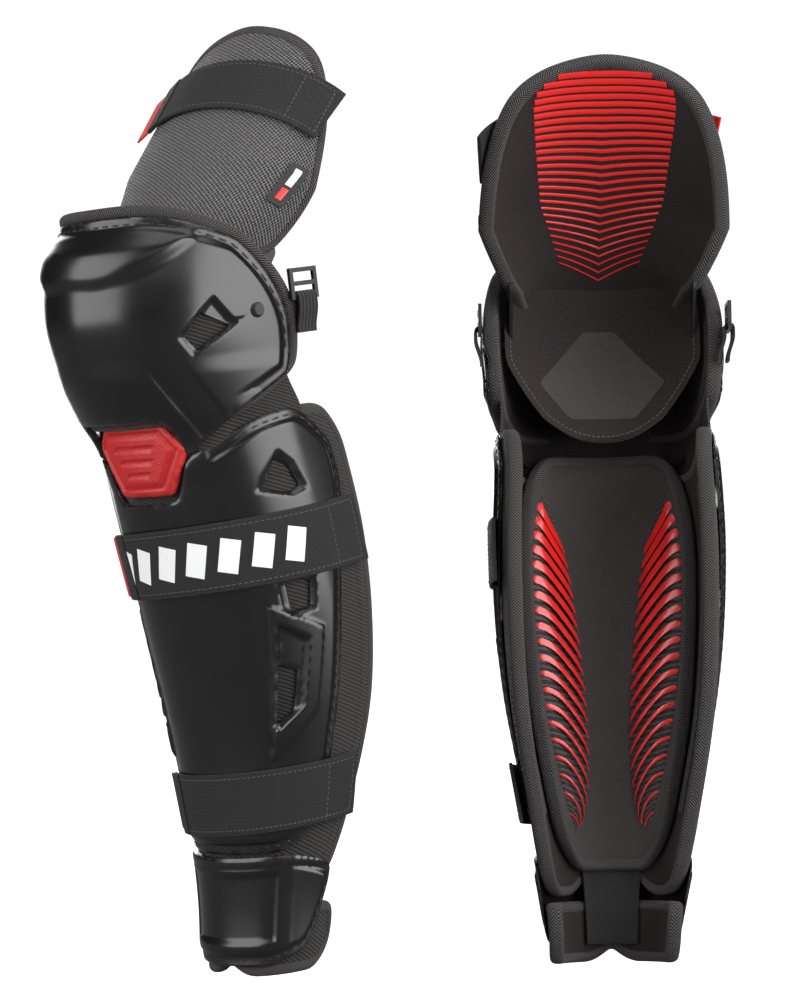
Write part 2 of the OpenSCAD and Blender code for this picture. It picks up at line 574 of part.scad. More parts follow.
place_right() ankle_plate();  // right_ankle_plate
place_right() ankle_pad();  // right_ankle_pad
place_right() ankle_binding();  // right_ankle_binding
place_right() elastic_tab();  // right_elastic_tab
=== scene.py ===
# %% [markdown]
# # A pair of hockey shin guards
# A shin guard is a stack of layers: a moulded shell outside, foam pads bound with tape behind it, a
# liner against the leg, and straps round everything. Each layer follows the same few cross-sections
# of the leg. So this lesson makes one surface for the shin, one for the knee and one for the thigh,
# and cuts every layer out of one of them, as a pattern cutter would.

# %% Load the frame
import json
import math
import bpy
import bmesh
import numpy as np
from mathutils import Matrix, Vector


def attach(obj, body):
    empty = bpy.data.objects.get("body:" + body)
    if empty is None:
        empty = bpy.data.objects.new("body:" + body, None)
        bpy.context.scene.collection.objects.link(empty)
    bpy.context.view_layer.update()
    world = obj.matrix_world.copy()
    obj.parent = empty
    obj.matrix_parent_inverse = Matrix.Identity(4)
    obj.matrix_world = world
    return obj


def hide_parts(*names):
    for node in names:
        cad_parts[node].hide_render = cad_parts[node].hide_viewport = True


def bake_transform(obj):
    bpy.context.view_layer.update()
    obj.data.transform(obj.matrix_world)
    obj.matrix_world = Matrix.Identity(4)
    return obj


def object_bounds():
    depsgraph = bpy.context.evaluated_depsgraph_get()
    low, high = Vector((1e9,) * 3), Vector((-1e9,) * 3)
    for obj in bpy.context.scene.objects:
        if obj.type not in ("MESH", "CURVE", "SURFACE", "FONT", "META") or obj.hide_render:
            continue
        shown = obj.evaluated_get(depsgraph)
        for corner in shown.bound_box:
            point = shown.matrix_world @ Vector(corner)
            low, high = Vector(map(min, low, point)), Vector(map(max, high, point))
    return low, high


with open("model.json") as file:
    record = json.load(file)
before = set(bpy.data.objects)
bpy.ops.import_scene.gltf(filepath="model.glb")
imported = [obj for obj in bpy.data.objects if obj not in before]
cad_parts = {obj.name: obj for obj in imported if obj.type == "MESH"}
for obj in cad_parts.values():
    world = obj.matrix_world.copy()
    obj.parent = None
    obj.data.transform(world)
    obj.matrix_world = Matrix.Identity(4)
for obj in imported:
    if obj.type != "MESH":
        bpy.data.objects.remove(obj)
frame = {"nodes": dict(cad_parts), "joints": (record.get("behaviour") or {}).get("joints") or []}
cad_box = [list(map(float, corner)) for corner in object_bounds()]
print("CAD box", cad_box)

# %% [markdown]
# The camera stands level in front of the pair with a long lens, so the two guards keep their
# proportions and show no bottom face.

# %% Camera
camera = bpy.data.objects.new("camera", bpy.data.cameras.new("camera"))
camera.data.sensor_fit = "HORIZONTAL"
camera.data.sensor_width = 36
camera.data.lens = 149.7
camera.location = (0.065, -1.925, 0.270)
camera.rotation_euler = (math.pi / 2, 0, 0)
bpy.context.scene.collection.objects.link(camera)
bpy.context.scene.camera = camera

# %% [markdown]
# Both guards are made once, in millimetres, in a guard's own frame: Z runs up the leg and the shin
# faces -Y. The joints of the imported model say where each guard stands, because the knee's axis is
# the guard's X axis and the shin strap's hinge is its Z axis.

# %% Where the two guards stand
KNEE_Z = 381.0        # height of the rivets
KNEE_Y = -26.0        # rivets in front of the leg's axis
SIDES = ("left", "right")
JOINTS = {joint["name"]: joint for joint in frame["joints"]}


def standing(side):
    """Matrix from a guard's own metres to the pair's frame."""
    x = -np.array(JOINTS[side + "_knee_flex"]["axis"], float)
    z = np.array(JOINTS[side + "_shin_strap_open"]["axis"], float)
    x, z = x / np.linalg.norm(x), z / np.linalg.norm(z)
    turn = np.stack([x, np.cross(z, x), z], axis=1)
    origin = np.array(JOINTS[side + "_knee_flex"]["pos_m"]) - turn @ np.array([0, KNEE_Y, KNEE_Z]) / 1000
    full = np.eye(4)
    full[:3, :3], full[:3, 3] = turn, origin
    return Matrix(full.tolist())


STANDING = {side: standing(side) for side in SIDES}
print({side: [round(c, 4) for c in STANDING[side].translation] for side in SIDES})

# %% [markdown]
# ## The leg's three surfaces
# A section of the leg is an ellipse whose half width and half depth change with height. Each surface
# is a function of flat coordinates: `u` is the way round in millimetres, `v` the height, and `off`
# the distance out from the pad's face. Working on flat coordinates lets a piece be cut from its
# pattern first and bent afterwards.

# %% Soft curves
def soft_curve(x, knots):
    """Cubic curve through knots (position, value): slopes follow the neighbours, and it is level outside."""
    k = np.array(knots, float)
    n = len(k)
    lo, hi = np.maximum(np.arange(n) - 1, 0), np.minimum(np.arange(n) + 1, n - 1)
    slope = (k[hi, 1] - k[lo, 1]) / (k[hi, 0] - k[lo, 0])
    x = np.clip(x, k[0, 0], k[-1, 0])
    i = np.clip(np.searchsorted(k[:, 0], x, side="right") - 1, 0, n - 2)
    h = k[i + 1, 0] - k[i, 0]
    t = (x - k[i, 0]) / h
    return ((2 * t**3 - 3 * t**2 + 1) * k[i, 1] + (t**3 - 2 * t**2 + t) * h * slope[i]
            + (3 * t**2 - 2 * t**3) * k[i + 1, 1] + (t**3 - t**2) * h * slope[i + 1])


def step(x, low, high):
    """0 below low, 1 above high, and an even S between them."""
    t = np.clip((np.asarray(x, float) - low) / (high - low), 0, 1)
    return t * t * (3 - 2 * t)


def mix(a, b, t):
    """The value t of the way from a to b."""
    return a + (b - a) * t


# %% The shin's surface
CALF, ANKLE, NECK, KNEE, REACH = 132.0, 84.0, 128.0, 151.0, 101.0
SHIN_MM, KNEE_MM, THIGH_MM = 1.05, 1.5, 1.2       # millimetres round the leg for each degree


def shin_half(z):
    """Half width of the shin's ellipse: ankle to calf, then in again at the neck below the knee."""
    knots = [(0, ANKLE / 2 - 3), (0.11, ANKLE / 2), (0.22, mix(ANKLE, CALF, 0.3) / 2),
             (0.42, mix(ANKLE, CALF, 0.8) / 2), (0.64, CALF / 2), (0.83, NECK / 2)]
    return soft_curve(z / KNEE_Z, knots)


def shin_front(z):
    """How far forward the shin's ellipse reaches: least at the ankle, most at the neck."""
    knots = [(0, -45), (0.11, -39), (0.22, -37), (0.42, -41), (0.64, -53), (0.83, -66)]
    return soft_curve(z / KNEE_Z, knots)


def shin(u, v, off):
    """Ellipse round the shin; past 90 degrees the wing runs straight back and curls in on a 200 mm radius."""
    u, v, off = np.broadcast_arrays(*[np.asarray(q, float) for q in (u, v, off)])
    phi = u / SHIN_MM
    a = shin_half(v)
    b = a * soft_curve(v / KNEE_Z, [(0, 0.9), (0.22, 0.92), (0.64, 0.91), (0.83, 0.97)])
    middle = shin_front(v) + b
    turn, side = np.radians(phi), np.sign(phi)
    back = np.maximum(0, np.abs(phi) - 90) * math.pi / 180 * b
    front = np.abs(phi) <= 90
    x = np.where(front, (a + off) * np.sin(turn), side * (a - back**2 / 400 + off))
    y = np.where(front, middle - (b + off) * np.cos(turn), middle + back + off * back / 200)
    return np.stack([x, y, v], axis=-1)


# %% The knee's and the thigh's surfaces
CLEAR = 7.0           # shell, air and cap between the neck of the shin and the knee cap's outer face


def knee_half(z):
    """Half width of the knee's ellipse: over the neck it clears the shin, and it is widest at the rivets."""
    knots = [(-80, NECK / 2 + CLEAR), (-48, mix(NECK, KNEE, 0.6) / 2 + 1), (-6, KNEE / 2),
             (20, KNEE / 2), (55, KNEE / 2 - 4.5)]
    return soft_curve(z - KNEE_Z, knots)


def knee(u, v, off):
    """Dome over the knee: an ellipse of changing half width and reach, cut off at the sides."""
    u, v, off = np.broadcast_arrays(*[np.asarray(q, float) for q in (u, v, off)])
    a = knee_half(v)
    knots = [(-80, -shin_front(KNEE_Z - 80) + CLEAR), (-64, -shin_front(KNEE_Z - 61) + CLEAR + 3),
             (-31, REACH - 8), (-6, REACH - 1), (9, REACH), (35, REACH - 5), (55, REACH - 17)]
    b = soft_curve(v - KNEE_Z, knots)
    phi = u / KNEE_MM
    past = np.maximum(0, np.abs(phi) - 90) * math.pi / 180 * a
    turn = np.radians(np.clip(phi, -90, 90))
    y = np.where(past > 0, past, -(b + off) * np.cos(turn))
    return np.stack([(a + off) * np.sin(turn), y, v], axis=-1)


BEND, THIGH_LONG, THIGH_DEEP = math.radians(41), 182.0, 48.0


def thigh(u, v, off):
    """Half round over the thigh, leaning back from the rivets by the resting bend of 41 degrees."""
    u, v, off = np.broadcast_arrays(*[np.asarray(q, float) for q in (u, v, off)])
    a = soft_curve(v, [(36, KNEE / 2 - 17.9), (82, 76)])
    turn = np.radians(u / THIGH_MM)
    y = 6 * (v / THIGH_LONG)**2 - (THIGH_DEEP + off) * np.cos(turn)
    return np.stack([(a + off) * np.sin(turn), KNEE_Y + y * math.cos(BEND) + v * math.sin(BEND),
                     KNEE_Z - y * math.sin(BEND) + v * math.cos(BEND)], axis=-1)


def flap(u, v, off):
    """Tongue inside the knee cap: a shallow trough that hangs back from the thigh pad."""
    u, v, off = np.broadcast_arrays(*[np.asarray(q, float) for q in (u, v, off)])
    y = soft_curve(v, [(325, -20), (350, -37), (375, -50), (395, -54), (418, -49.5)]) + 26 * (u / 49)**2
    return np.stack([u, y - off, v], axis=-1)


# %% [markdown]
# ## Cutting a pattern
# A pattern is a closed outline with holes. A fine square grid is laid under it. Grid points close to
# the outline move onto it, and cells outside are dropped, so every rim and vent comes out as a clean
# smooth line. Because no grid edge may cross the outline unmoved, this can't leave gaps.

# %% Outlines
def even(loop, gap, closed=True):
    """Points every gap millimetres along a path."""
    loop = np.asarray(loop, float)
    way = np.vstack([loop, loop[:1]]) if closed else loop
    run = np.concatenate([[0], np.cumsum(np.hypot(*np.diff(way, axis=0).T))])
    n = max(8, int(round(run[-1] / gap)))
    at = np.linspace(0, run[-1], n + (0 if closed else 1), endpoint=not closed)
    return np.stack([np.interp(at, run, way[:, c]) for c in (0, 1)], axis=1)


def soften(loop, radius, gap=1.5):
    """Rounds an outline's corners: each point becomes the weighted mean of its neighbours."""
    loop = even(loop, gap)
    reach = int(2.5 * radius / gap)
    k = np.arange(-reach, reach + 1)
    weight = np.exp(-0.5 * (k * gap / radius)**2)
    weight /= weight.sum()
    return sum(w * np.roll(loop, -i, axis=0) for w, i in zip(weight, k))


def pattern(edge, low, high, mm, radius):
    """Outline from a side edge angle(z), and lower and upper heights low(s), high(s) for s from -1 to 1."""
    s = np.linspace(-1, 1, 161)
    bottom, top = low(s), high(s)
    side = np.linspace(bottom[-1], top[-1], 80)[1:-1]
    rim = edge(side) * mm
    loop = np.concatenate([np.stack([s * edge(bottom) * mm, bottom], 1), np.stack([rim, side], 1),
                           np.stack([s * edge(top) * mm, top], 1)[::-1], np.stack([-rim, side], 1)[::-1]])
    return soften(loop, radius)


def vent(points, mm, side=1, radius=1.2):
    """A small outline given in degrees and millimetres, on one side of the leg."""
    loop = np.array(points, float) * [side * mm, 1]
    return soften(loop, radius, 0.5)


# %% Distance to an outline
def rim_distance(points, loops):
    """Distance to the nearest outline, positive inside the pattern, and that nearest point."""
    best = np.full(len(points), np.inf)
    near = np.zeros_like(points)
    inside = np.zeros(len(points), bool)
    for loop in loops:
        a, b = loop, np.roll(loop, -1, axis=0)
        ab = b - a
        size = (ab**2).sum(1) + 1e-12
        for start in range(0, len(points), 4000):
            p = points[start:start + 4000, None]
            t = np.clip(((p - a) * ab).sum(2) / size, 0, 1)
            q = a + t[..., None] * ab
            gap = ((p - q)**2).sum(2)
            i = gap.argmin(1)
            row = np.arange(len(i))
            here = slice(start, start + len(i))
            closer = gap[row, i] < best[here]
            best[here] = np.where(closer, gap[row, i], best[here])
            near[here] = np.where(closer[:, None], q[row, i], near[here])
            x, y = p[..., 0], p[..., 1]
            level = (a[:, 1] > y) != (b[:, 1] > y)
            cross = level & (x < ab[:, 0] * (y - a[:, 1]) / (ab[:, 1] + 1e-12) + a[:, 0])
            inside[here] ^= cross.sum(1) % 2 == 1
    return np.where(inside, 1, -1) * np.sqrt(best), near


def within(u, v, loop):
    """Depth inside one outline, 0 or less outside it."""
    return rim_distance(np.stack([np.ravel(u), np.ravel(v)], 1), [loop])[0]


# %% Cut and bend
def cut(loops, cell):
    """Grid points, cells (-1 ends a triangle), rim edges and rim distance of a pattern."""
    low, high = loops[0].min(0) - cell, loops[0].max(0) + cell
    nx, ny = (np.ceil((high - low) / cell).astype(int) + 1)
    gx, gy = np.meshgrid(low[0] + cell * np.arange(nx), low[1] + cell * np.arange(ny), indexing="ij")
    points = np.stack([gx.ravel(), gy.ravel()], 1)
    far, near = rim_distance(points, loops)
    on = np.abs(far) < 0.51 * cell
    points[on], far[on] = near[on], 0
    i, j = [g.ravel() for g in np.meshgrid(np.arange(nx - 1), np.arange(ny - 1), indexing="ij")]
    corner = np.stack([i * ny + j, (i + 1) * ny + j, (i + 1) * ny + j + 1, i * ny + j + 1], 1)
    count = (far[corner] >= 0).sum(1)
    quads = corner[count == 4]
    thin = (far[quads] == 0).all(1)
    middle = points[quads[thin]].mean(1)
    bad = np.zeros(len(quads), bool)
    if len(middle):
        bad[np.flatnonzero(thin)[rim_distance(middle, loops)[0] < 0]] = True
    quads = quads[~bad]
    tri = corner[count == 3]
    gone = (far[tri] < 0).argmax(1)
    tri = np.stack([tri[np.arange(len(tri)), (gone + k) % 4] for k in (1, 2, 3)], 1)
    if len(tri):
        tri = tri[rim_distance(points[tri].mean(1), loops)[0] > 0]
    cells = np.concatenate([quads, np.concatenate([tri, np.full((len(tri), 1), -1)], 1)])
    used = np.unique(cells[cells >= 0])
    new = np.full(len(points), -1)
    new[used] = np.arange(len(used))
    cells = np.where(cells >= 0, new[cells], -1)
    following = [np.where(cells[:, (k + 1) % 4] < 0, cells[:, 0], cells[:, (k + 1) % 4]) for k in range(4)]
    sides = np.concatenate([np.stack([cells[:, k], following[k]], 1) for k in range(4)])
    sides = sides[(sides[:, 0] >= 0) & (sides[:, 0] != sides[:, 1])]
    key = sides.min(1) * len(used) + sides.max(1)
    _, first, times = np.unique(key, return_index=True, return_counts=True)
    return points[used], cells, sides[first[times == 1]], far[used]


def plate(surface, loops, cell, top, bottom):
    """A closed piece between two faces of a surface, whose offsets follow from (u, v, rim distance)."""
    flat, cells, rim, far = cut(loops, cell)
    u, v = flat.T
    n = len(flat)
    points = np.concatenate([surface(u, v, top(u, v, far)), surface(u, v, bottom(u, v, far))])
    under = np.where(cells >= 0, cells + n, -1)
    back = np.where(under[:, 3:] < 0, under[:, [2, 1, 0, 3]], under[:, ::-1])
    wall = np.stack([rim[:, 1], rim[:, 0], rim[:, 0] + n, rim[:, 1] + n], 1)
    faces = np.concatenate([cells, back, wall])
    uv = np.concatenate([flat, flat]) / 1000
    kind = np.concatenate([np.zeros(len(cells)), np.ones(len(back)), np.zeros(len(wall))]).astype(int)
    return dict(points=points, faces=faces, uvs=uv[np.maximum(faces, 0)], kind=kind,
                rim=np.tile(np.exp(-np.maximum(far, 0) / 1.6), 2))


def level(offset):
    """A face at one offset everywhere."""
    return lambda u, v, far: 0 * u + offset


# %% [markdown]
# ## Tape, straps and stitches
# Tape, straps and raised bars are one thing to make: a rounded section carried along a path drawn on
# a surface. A stitch is a short bar, repeated hundreds of times, so it gets only a few faces.

# %% A section carried along a path
def ribbon(surface, path, inner, outer, low, high, closed=False, power=4.0, around=20):
    """Squared-off ellipse between widths inner and outer and offsets low and high, carried along the path."""
    path = np.asarray(path, float)
    n = len(path)
    if closed:
        along = np.roll(path, -1, axis=0) - np.roll(path, 1, axis=0)
    else:
        along = np.gradient(path, axis=0)
    along /= np.linalg.norm(along, axis=1, keepdims=True) + 1e-12
    out = np.stack([along[:, 1], -along[:, 0]], 1)
    angle = 2 * math.pi * (np.arange(around) + 0.5) / around
    ex = np.sign(np.cos(angle)) * np.abs(np.cos(angle))**(2 / power)
    ey = np.sign(np.sin(angle)) * np.abs(np.sin(angle))**(2 / power)
    inner, outer, low, high = [np.broadcast_to(np.asarray(q, float), n)[:, None]
                               for q in (inner, outer, low, high)]
    wide = (inner + outer) / 2 + (outer - inner) / 2 * ex
    tall = (low + high) / 2 + (high - low) / 2 * ey
    flat = path[:, None] + out[:, None] * wide[..., None]
    points = surface(flat[..., 0], flat[..., 1], tall)
    gap = np.hypot(*np.diff(np.vstack([path, path[:1]]), axis=0).T)
    run = np.concatenate([[0], np.cumsum(gap)])[:n + closed] / 1000
    girth = np.concatenate([[0], np.cumsum(np.hypot(np.diff(np.append(wide[0], wide[0, 0])),
                                                    np.diff(np.append(tall[0], tall[0, 0]))))]) / 1000
    rows = n if closed else n - 1
    i, j = [g.ravel() for g in np.meshgrid(np.arange(rows), np.arange(around), indexing="ij")]
    i2, j2 = (i + 1) % n, (j + 1) % around
    faces = np.stack([i * around + j, i * around + j2, i2 * around + j2, i2 * around + j], 1)
    corners = ((i, j), (i, j + 1), (i + 1, j + 1), (i + 1, j))
    uvs = np.stack([np.stack([run[a], girth[b]], 1) for a, b in corners], 1)
    points = points.reshape(-1, 3)
    if not closed:
        ends = np.stack([points[:around].mean(0), points[-around:].mean(0)])
        j = np.arange(around)
        j2 = (j + 1) % around
        last = (n - 1) * around
        caps = np.concatenate([np.stack([j2, j, j * 0 + len(points), j * 0 - 1], 1),
                               np.stack([last + j, last + j2, j * 0 + len(points) + 1, j * 0 - 1], 1)])
        points = np.concatenate([points, ends])
        faces = np.concatenate([faces, caps])
        uvs = np.concatenate([uvs, np.zeros((len(caps), 4, 2))])
    return dict(points=points, faces=faces, uvs=uvs, kind=np.zeros(len(faces), int),
                rim=np.zeros(len(points)))


def together(*parts):
    """Several skins as one."""
    shift = np.cumsum([0] + [len(p["points"]) for p in parts[:-1]])
    return dict(points=np.concatenate([p["points"] for p in parts]),
                faces=np.concatenate([np.where(p["faces"] >= 0, p["faces"] + k, -1)
                                      for p, k in zip(parts, shift)]),
                uvs=np.concatenate([p["uvs"] for p in parts]),
                kind=np.concatenate([p["kind"] for p in parts]),
                rim=np.concatenate([p["rim"] for p in parts]))


# %% Stitches
def shifted(loop, distance):
    """A closed outline moved inwards by a distance."""
    along = np.roll(loop, -1, axis=0) - np.roll(loop, 1, axis=0)
    along /= np.linalg.norm(along, axis=1, keepdims=True)
    return loop - np.stack([along[:, 1], -along[:, 0]], 1) * distance


def stitches(surface, path, lift, pitch=6.5, long=4.6, thick=0.55, closed=False):
    """A row of thread bars: each is a six-sided rod whose ends dip into the cloth."""
    way = even(path, 0.5, closed)
    hop = int(round(pitch / 0.5))
    first = np.arange(0, len(way) - hop, hop)
    half = int(round(long / 0.5))
    t = np.array([0, 0.25, 0.75, 1.0])
    index = first[:, None] + (t * half).astype(int)
    flat = way[np.minimum(index, len(way) - 1)]
    dip = np.array([-0.9, 0.2, 0.2, -0.9]) * thick
    height = lift(flat[..., 0], flat[..., 1]) if callable(lift) else lift
    centre = surface(flat[..., 0], flat[..., 1], height + dip)
    up = surface(flat[..., 0], flat[..., 1], height + 1) - surface(flat[..., 0], flat[..., 1], height)
    up /= np.linalg.norm(up, axis=-1, keepdims=True)
    ahead = np.gradient(centre, axis=1)
    ahead /= np.linalg.norm(ahead, axis=-1, keepdims=True) + 1e-9
    across = np.cross(ahead, up)
    angle = 2 * math.pi * np.arange(6) / 6
    ring = across[:, :, None] * np.cos(angle)[:, None] + up[:, :, None] * np.sin(angle)[:, None] * 0.8
    points = (centre[:, :, None] + ring * thick).reshape(-1, 3)
    k, i, j = [g.ravel() for g in np.meshgrid(np.arange(len(first)) * 24, np.arange(3) * 6, np.arange(6),
                                              indexing="ij")]
    faces = np.stack([k + i + j, k + i + (j + 1) % 6, k + i + 6 + (j + 1) % 6, k + i + 6 + j], 1)
    start = np.arange(len(first))[:, None] * 24
    closing = ([0, 5, 4, 3], [0, 3, 2, 1], [18, 19, 20, 21], [18, 21, 22, 23])
    caps = np.concatenate([start + np.array(corners) for corners in closing])
    faces = np.concatenate([faces, caps])
    return dict(points=points, faces=faces, uvs=np.zeros((len(faces), 4, 2)),
                kind=np.zeros(len(faces), int), rim=np.zeros(len(points)))


# %% [markdown]
# ## Turning a skin into a pair of pieces
# A skin becomes a mesh once. Doubled points are merged, normals are turned outwards, and the mesh is
# copied to both guards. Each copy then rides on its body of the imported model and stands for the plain
# CAD node it replaces.

# %% Build a piece on both guards
made = {}


def build(name, skin, finishes, body, node=None, sharp=42, declare=None, ride=True):
    """Makes a skin's mesh once and stands a copy on each guard, with its finishes and body, and hides the CAD
    node it replaces.
    """
    points, faces = skin["points"] / 1000, skin["faces"]
    used = faces >= 0
    loops = faces[used]
    mesh = bpy.data.meshes.new(name)
    mesh.vertices.add(len(points))
    mesh.vertices.foreach_set("co", points.astype(np.float32).ravel())
    mesh.loops.add(len(loops))
    mesh.loops.foreach_set("vertex_index", loops.astype(np.int32))
    mesh.polygons.add(len(faces))
    starts = np.concatenate([[0], np.cumsum(used.sum(1))[:-1]])
    mesh.polygons.foreach_set("loop_start", starts.astype(np.int32))
    finish_index = np.minimum(skin["kind"], len(finishes) - 1)
    mesh.polygons.foreach_set("material_index", finish_index.astype(np.int32))
    mesh.update(calc_edges=True)
    mesh.uv_layers.new(name="UVMap").data.foreach_set("uv", skin["uvs"][used].astype(np.float32).ravel())
    mesh.attributes.new("rim", "FLOAT", "POINT").data.foreach_set("value", skin["rim"].astype(np.float32))
    work = bmesh.new()
    work.from_mesh(mesh)
    bmesh.ops.remove_doubles(work, verts=work.verts, dist=4e-6)
    bmesh.ops.recalc_face_normals(work, faces=work.faces)
    work.to_mesh(mesh)
    work.free()
    mesh.shade_smooth()
    mesh.set_sharp_from_angle(angle=math.radians(sharp))
    pair = []
    for side in SIDES:
        copy = mesh.copy()
        copy.transform(STANDING[side])
        piece = bpy.data.objects.new(f"{side}_{name}", copy)
        for finish in finishes:
            copy.materials.append(finish)
        bpy.context.scene.collection.objects.link(piece)
        if ride:
            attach(piece, f"{side}_{body}")
        if node:
            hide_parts(f"{side}_{node}")
        if declare:
            declare(piece)
        made[piece.name] = piece
        pair.append(piece)
    bpy.data.meshes.remove(mesh)
    print(name, len(pair[0].data.polygons), "faces")
    return pair


# %% [markdown]
# ## Finishes
# Black is not one colour here. The moulded plastic is glossy with fine grain, the outer cloth is an
# open mesh, the tape is a herringbone twill, the straps are ribbed elastic and the linings are
# brushed. Each weave is a node group that reads flat metres from the piece's own UV map, so its
# threads keep their real size and follow the bends.

# %% Node helpers
def put(tree, kind, inputs=None, **settings):
    """Adds a node, sets it up and wires or fills its inputs."""
    node = tree.nodes.new(kind)
    for name, value in settings.items():
        setattr(node, name, value)
    for name, value in (inputs or {}).items():
        if isinstance(value, bpy.types.NodeSocket):
            tree.links.new(value, node.inputs[name])
        else:
            node.inputs[name].default_value = value
    return node


def sums(tree, operation, a, b=0.0, c=0.0):
    """One arithmetic step on two or three numbers."""
    return put(tree, "ShaderNodeMath", {0: a, 1: b, 2: c}, operation=operation).outputs[0]


def ramp(tree, value, low, high, to_low=0.0, to_high=1.0):
    """A soft step that turns the range low to high into to_low to to_high."""
    inputs = {"Value": value, "From Min": low, "From Max": high, "To Min": to_low, "To Max": to_high}
    return put(tree, "ShaderNodeMapRange", inputs, interpolation_type="SMOOTHSTEP").outputs[0]


def new_group(name, inputs, outputs):
    """An empty node group with named sockets, and its two end nodes."""
    group = bpy.data.node_groups.new(name, "ShaderNodeTree")
    for label, kind, value in inputs:
        socket = group.interface.new_socket(name=label, in_out="INPUT", socket_type=kind)
        if value is not None:
            socket.default_value = value
    for label in outputs:
        group.interface.new_socket(name=label, in_out="OUTPUT", socket_type="NodeSocketFloat")
    return group, group.nodes.new("NodeGroupInput"), group.nodes.new("NodeGroupOutput")


def flat_xy(tree, vector):
    """The two flat coordinates of a vector."""
    parts = put(tree, "ShaderNodeSeparateXYZ", {0: vector})
    return parts.outputs[0], parts.outputs[1]


FLOAT, VECTOR = "NodeSocketFloat", "NodeSocketVector"

# %% Open mesh group
open_mesh, enter, leave = new_group("open mesh", [("Vector", VECTOR, None), ("Pitch", FLOAT, 0.0014),
                                                  ("Slant", FLOAT, 0.6), ("Opening", FLOAT, 0.34)],
                                    ["Holes", "Height"])
turned = put(open_mesh, "ShaderNodeVectorRotate", {"Vector": enter.outputs[0], "Angle": enter.outputs[2]},
             rotation_type="Z_AXIS")
per_metre = sums(open_mesh, "DIVIDE", 1.0, enter.outputs[1])
sized = put(open_mesh, "ShaderNodeVectorMath", {0: turned.outputs[0], "Scale": per_metre},
            operation="SCALE")
cells = put(open_mesh, "ShaderNodeTexVoronoi",
            {"Vector": sized.outputs[0], "Scale": 1.0, "Randomness": 0.12}, voronoi_dimensions="2D")
holes = ramp(open_mesh, cells.outputs["Distance"], 0.14, enter.outputs[3], 1.0, 0.0)
open_mesh.links.new(holes, leave.inputs[0])
open_mesh.links.new(sums(open_mesh, "SUBTRACT", 1.0, holes), leave.inputs[1])

# %% Twill group
twill, enter, leave = new_group("herringbone twill", [("Vector", VECTOR, None), ("Pitch", FLOAT, 0.0013),
                                                      ("Row", FLOAT, 0.005), ("Lean", FLOAT, 1.0)],
                                ["Ridges"])
x, y = flat_xy(twill, enter.outputs[0])
zigzag = sums(twill, "PINGPONG", y, enter.outputs[2])
phase = sums(twill, "DIVIDE", sums(twill, "MULTIPLY_ADD", zigzag, enter.outputs[3], x), enter.outputs[1])
wave = sums(twill, "SINE", sums(twill, "MULTIPLY", phase, 2 * math.pi))
twill.links.new(ramp(twill, wave, -0.8, 0.8), leave.inputs[0])

# %% Ribbed knit group
ribbed, enter, leave = new_group("ribbed knit", [("Vector", VECTOR, None), ("Rib", FLOAT, 0.0022),
                                                 ("Stitch", FLOAT, 0.0012), ("Lean", FLOAT, 0.35)],
                                 ["Ribs", "Knit"])
x, y = flat_xy(ribbed, enter.outputs[0])
across = sums(ribbed, "DIVIDE", sums(ribbed, "MULTIPLY_ADD", x, enter.outputs[3], y), enter.outputs[1])
ribs = ramp(ribbed, sums(ribbed, "SINE", sums(ribbed, "MULTIPLY", across, 2 * math.pi)), -0.7, 0.5)
loops_x = sums(ribbed, "SINE", sums(ribbed, "MULTIPLY", sums(ribbed, "DIVIDE", x, enter.outputs[2]),
                                    2 * math.pi))
loops_y = sums(ribbed, "SINE", sums(ribbed, "MULTIPLY", sums(ribbed, "DIVIDE", y, enter.outputs[2]),
                                    2 * math.pi))
ribbed.links.new(ribs, leave.inputs[0])
ribbed.links.new(ramp(ribbed, sums(ribbed, "MULTIPLY", loops_x, loops_y), -0.5, 0.5), leave.inputs[1])

# %% Fine grain and wear group
grain, enter, leave = new_group("grain and wear", [("Vector", VECTOR, None), ("Fine", FLOAT, 1400.0),
                                                   ("Broad", FLOAT, 18.0), ("Rim", FLOAT, 0.0)],
                                ["Fine", "Broad", "Wear"])
fine = put(grain, "ShaderNodeTexNoise", {"Vector": enter.outputs[0], "Scale": enter.outputs[1],
                                         "Detail": 2.0})
broad = put(grain, "ShaderNodeTexNoise", {"Vector": enter.outputs[0], "Scale": enter.outputs[2],
                                          "Detail": 3.0})
scuff = put(grain, "ShaderNodeTexNoise", {"Vector": enter.outputs[0], "Scale": 160.0, "Detail": 4.0,
                                          "Roughness": 0.7})
grain.links.new(fine.outputs[0], leave.inputs[0])
grain.links.new(broad.outputs[0], leave.inputs[1])
grain.links.new(sums(grain, "MULTIPLY", enter.outputs[3], ramp(grain, scuff.outputs[0], 0.42, 0.6)),
                leave.inputs[2])


# %% Materials from the groups
def grey(value, warm=0.0):
    """A grey of one strength, with a little more red when it is warm."""
    return (value * (1 + warm), value, value * (1 + 0.1 * warm), 1)


def start_finish(name, roughness, sheen=0.0, coat=0.0, specular=0.5):
    """A Principled material with its fixed numbers on the shader's own sockets."""
    material = bpy.data.materials.new(name)
    material.use_nodes = True
    tree = material.node_tree
    shader = tree.nodes["Principled BSDF"]
    shader.inputs["Roughness"].default_value = roughness
    shader.inputs["Specular IOR Level"].default_value = specular
    shader.inputs["Sheen Weight"].default_value = sheen
    shader.inputs["Sheen Roughness"].default_value = 0.4
    shader.inputs["Coat Weight"].default_value = coat
    shader.inputs["Coat Roughness"].default_value = 0.18
    where = put(tree, "ShaderNodeTexCoord")
    return material, tree, shader, where


def colour_by(tree, shader, mask, first, second):
    """Base colour that goes from the first to the second where the mask is 1."""
    blend = put(tree, "ShaderNodeMix", {0: mask, 6: first, 7: second}, data_type="RGBA")
    tree.links.new(blend.outputs[2], shader.inputs["Base Color"])


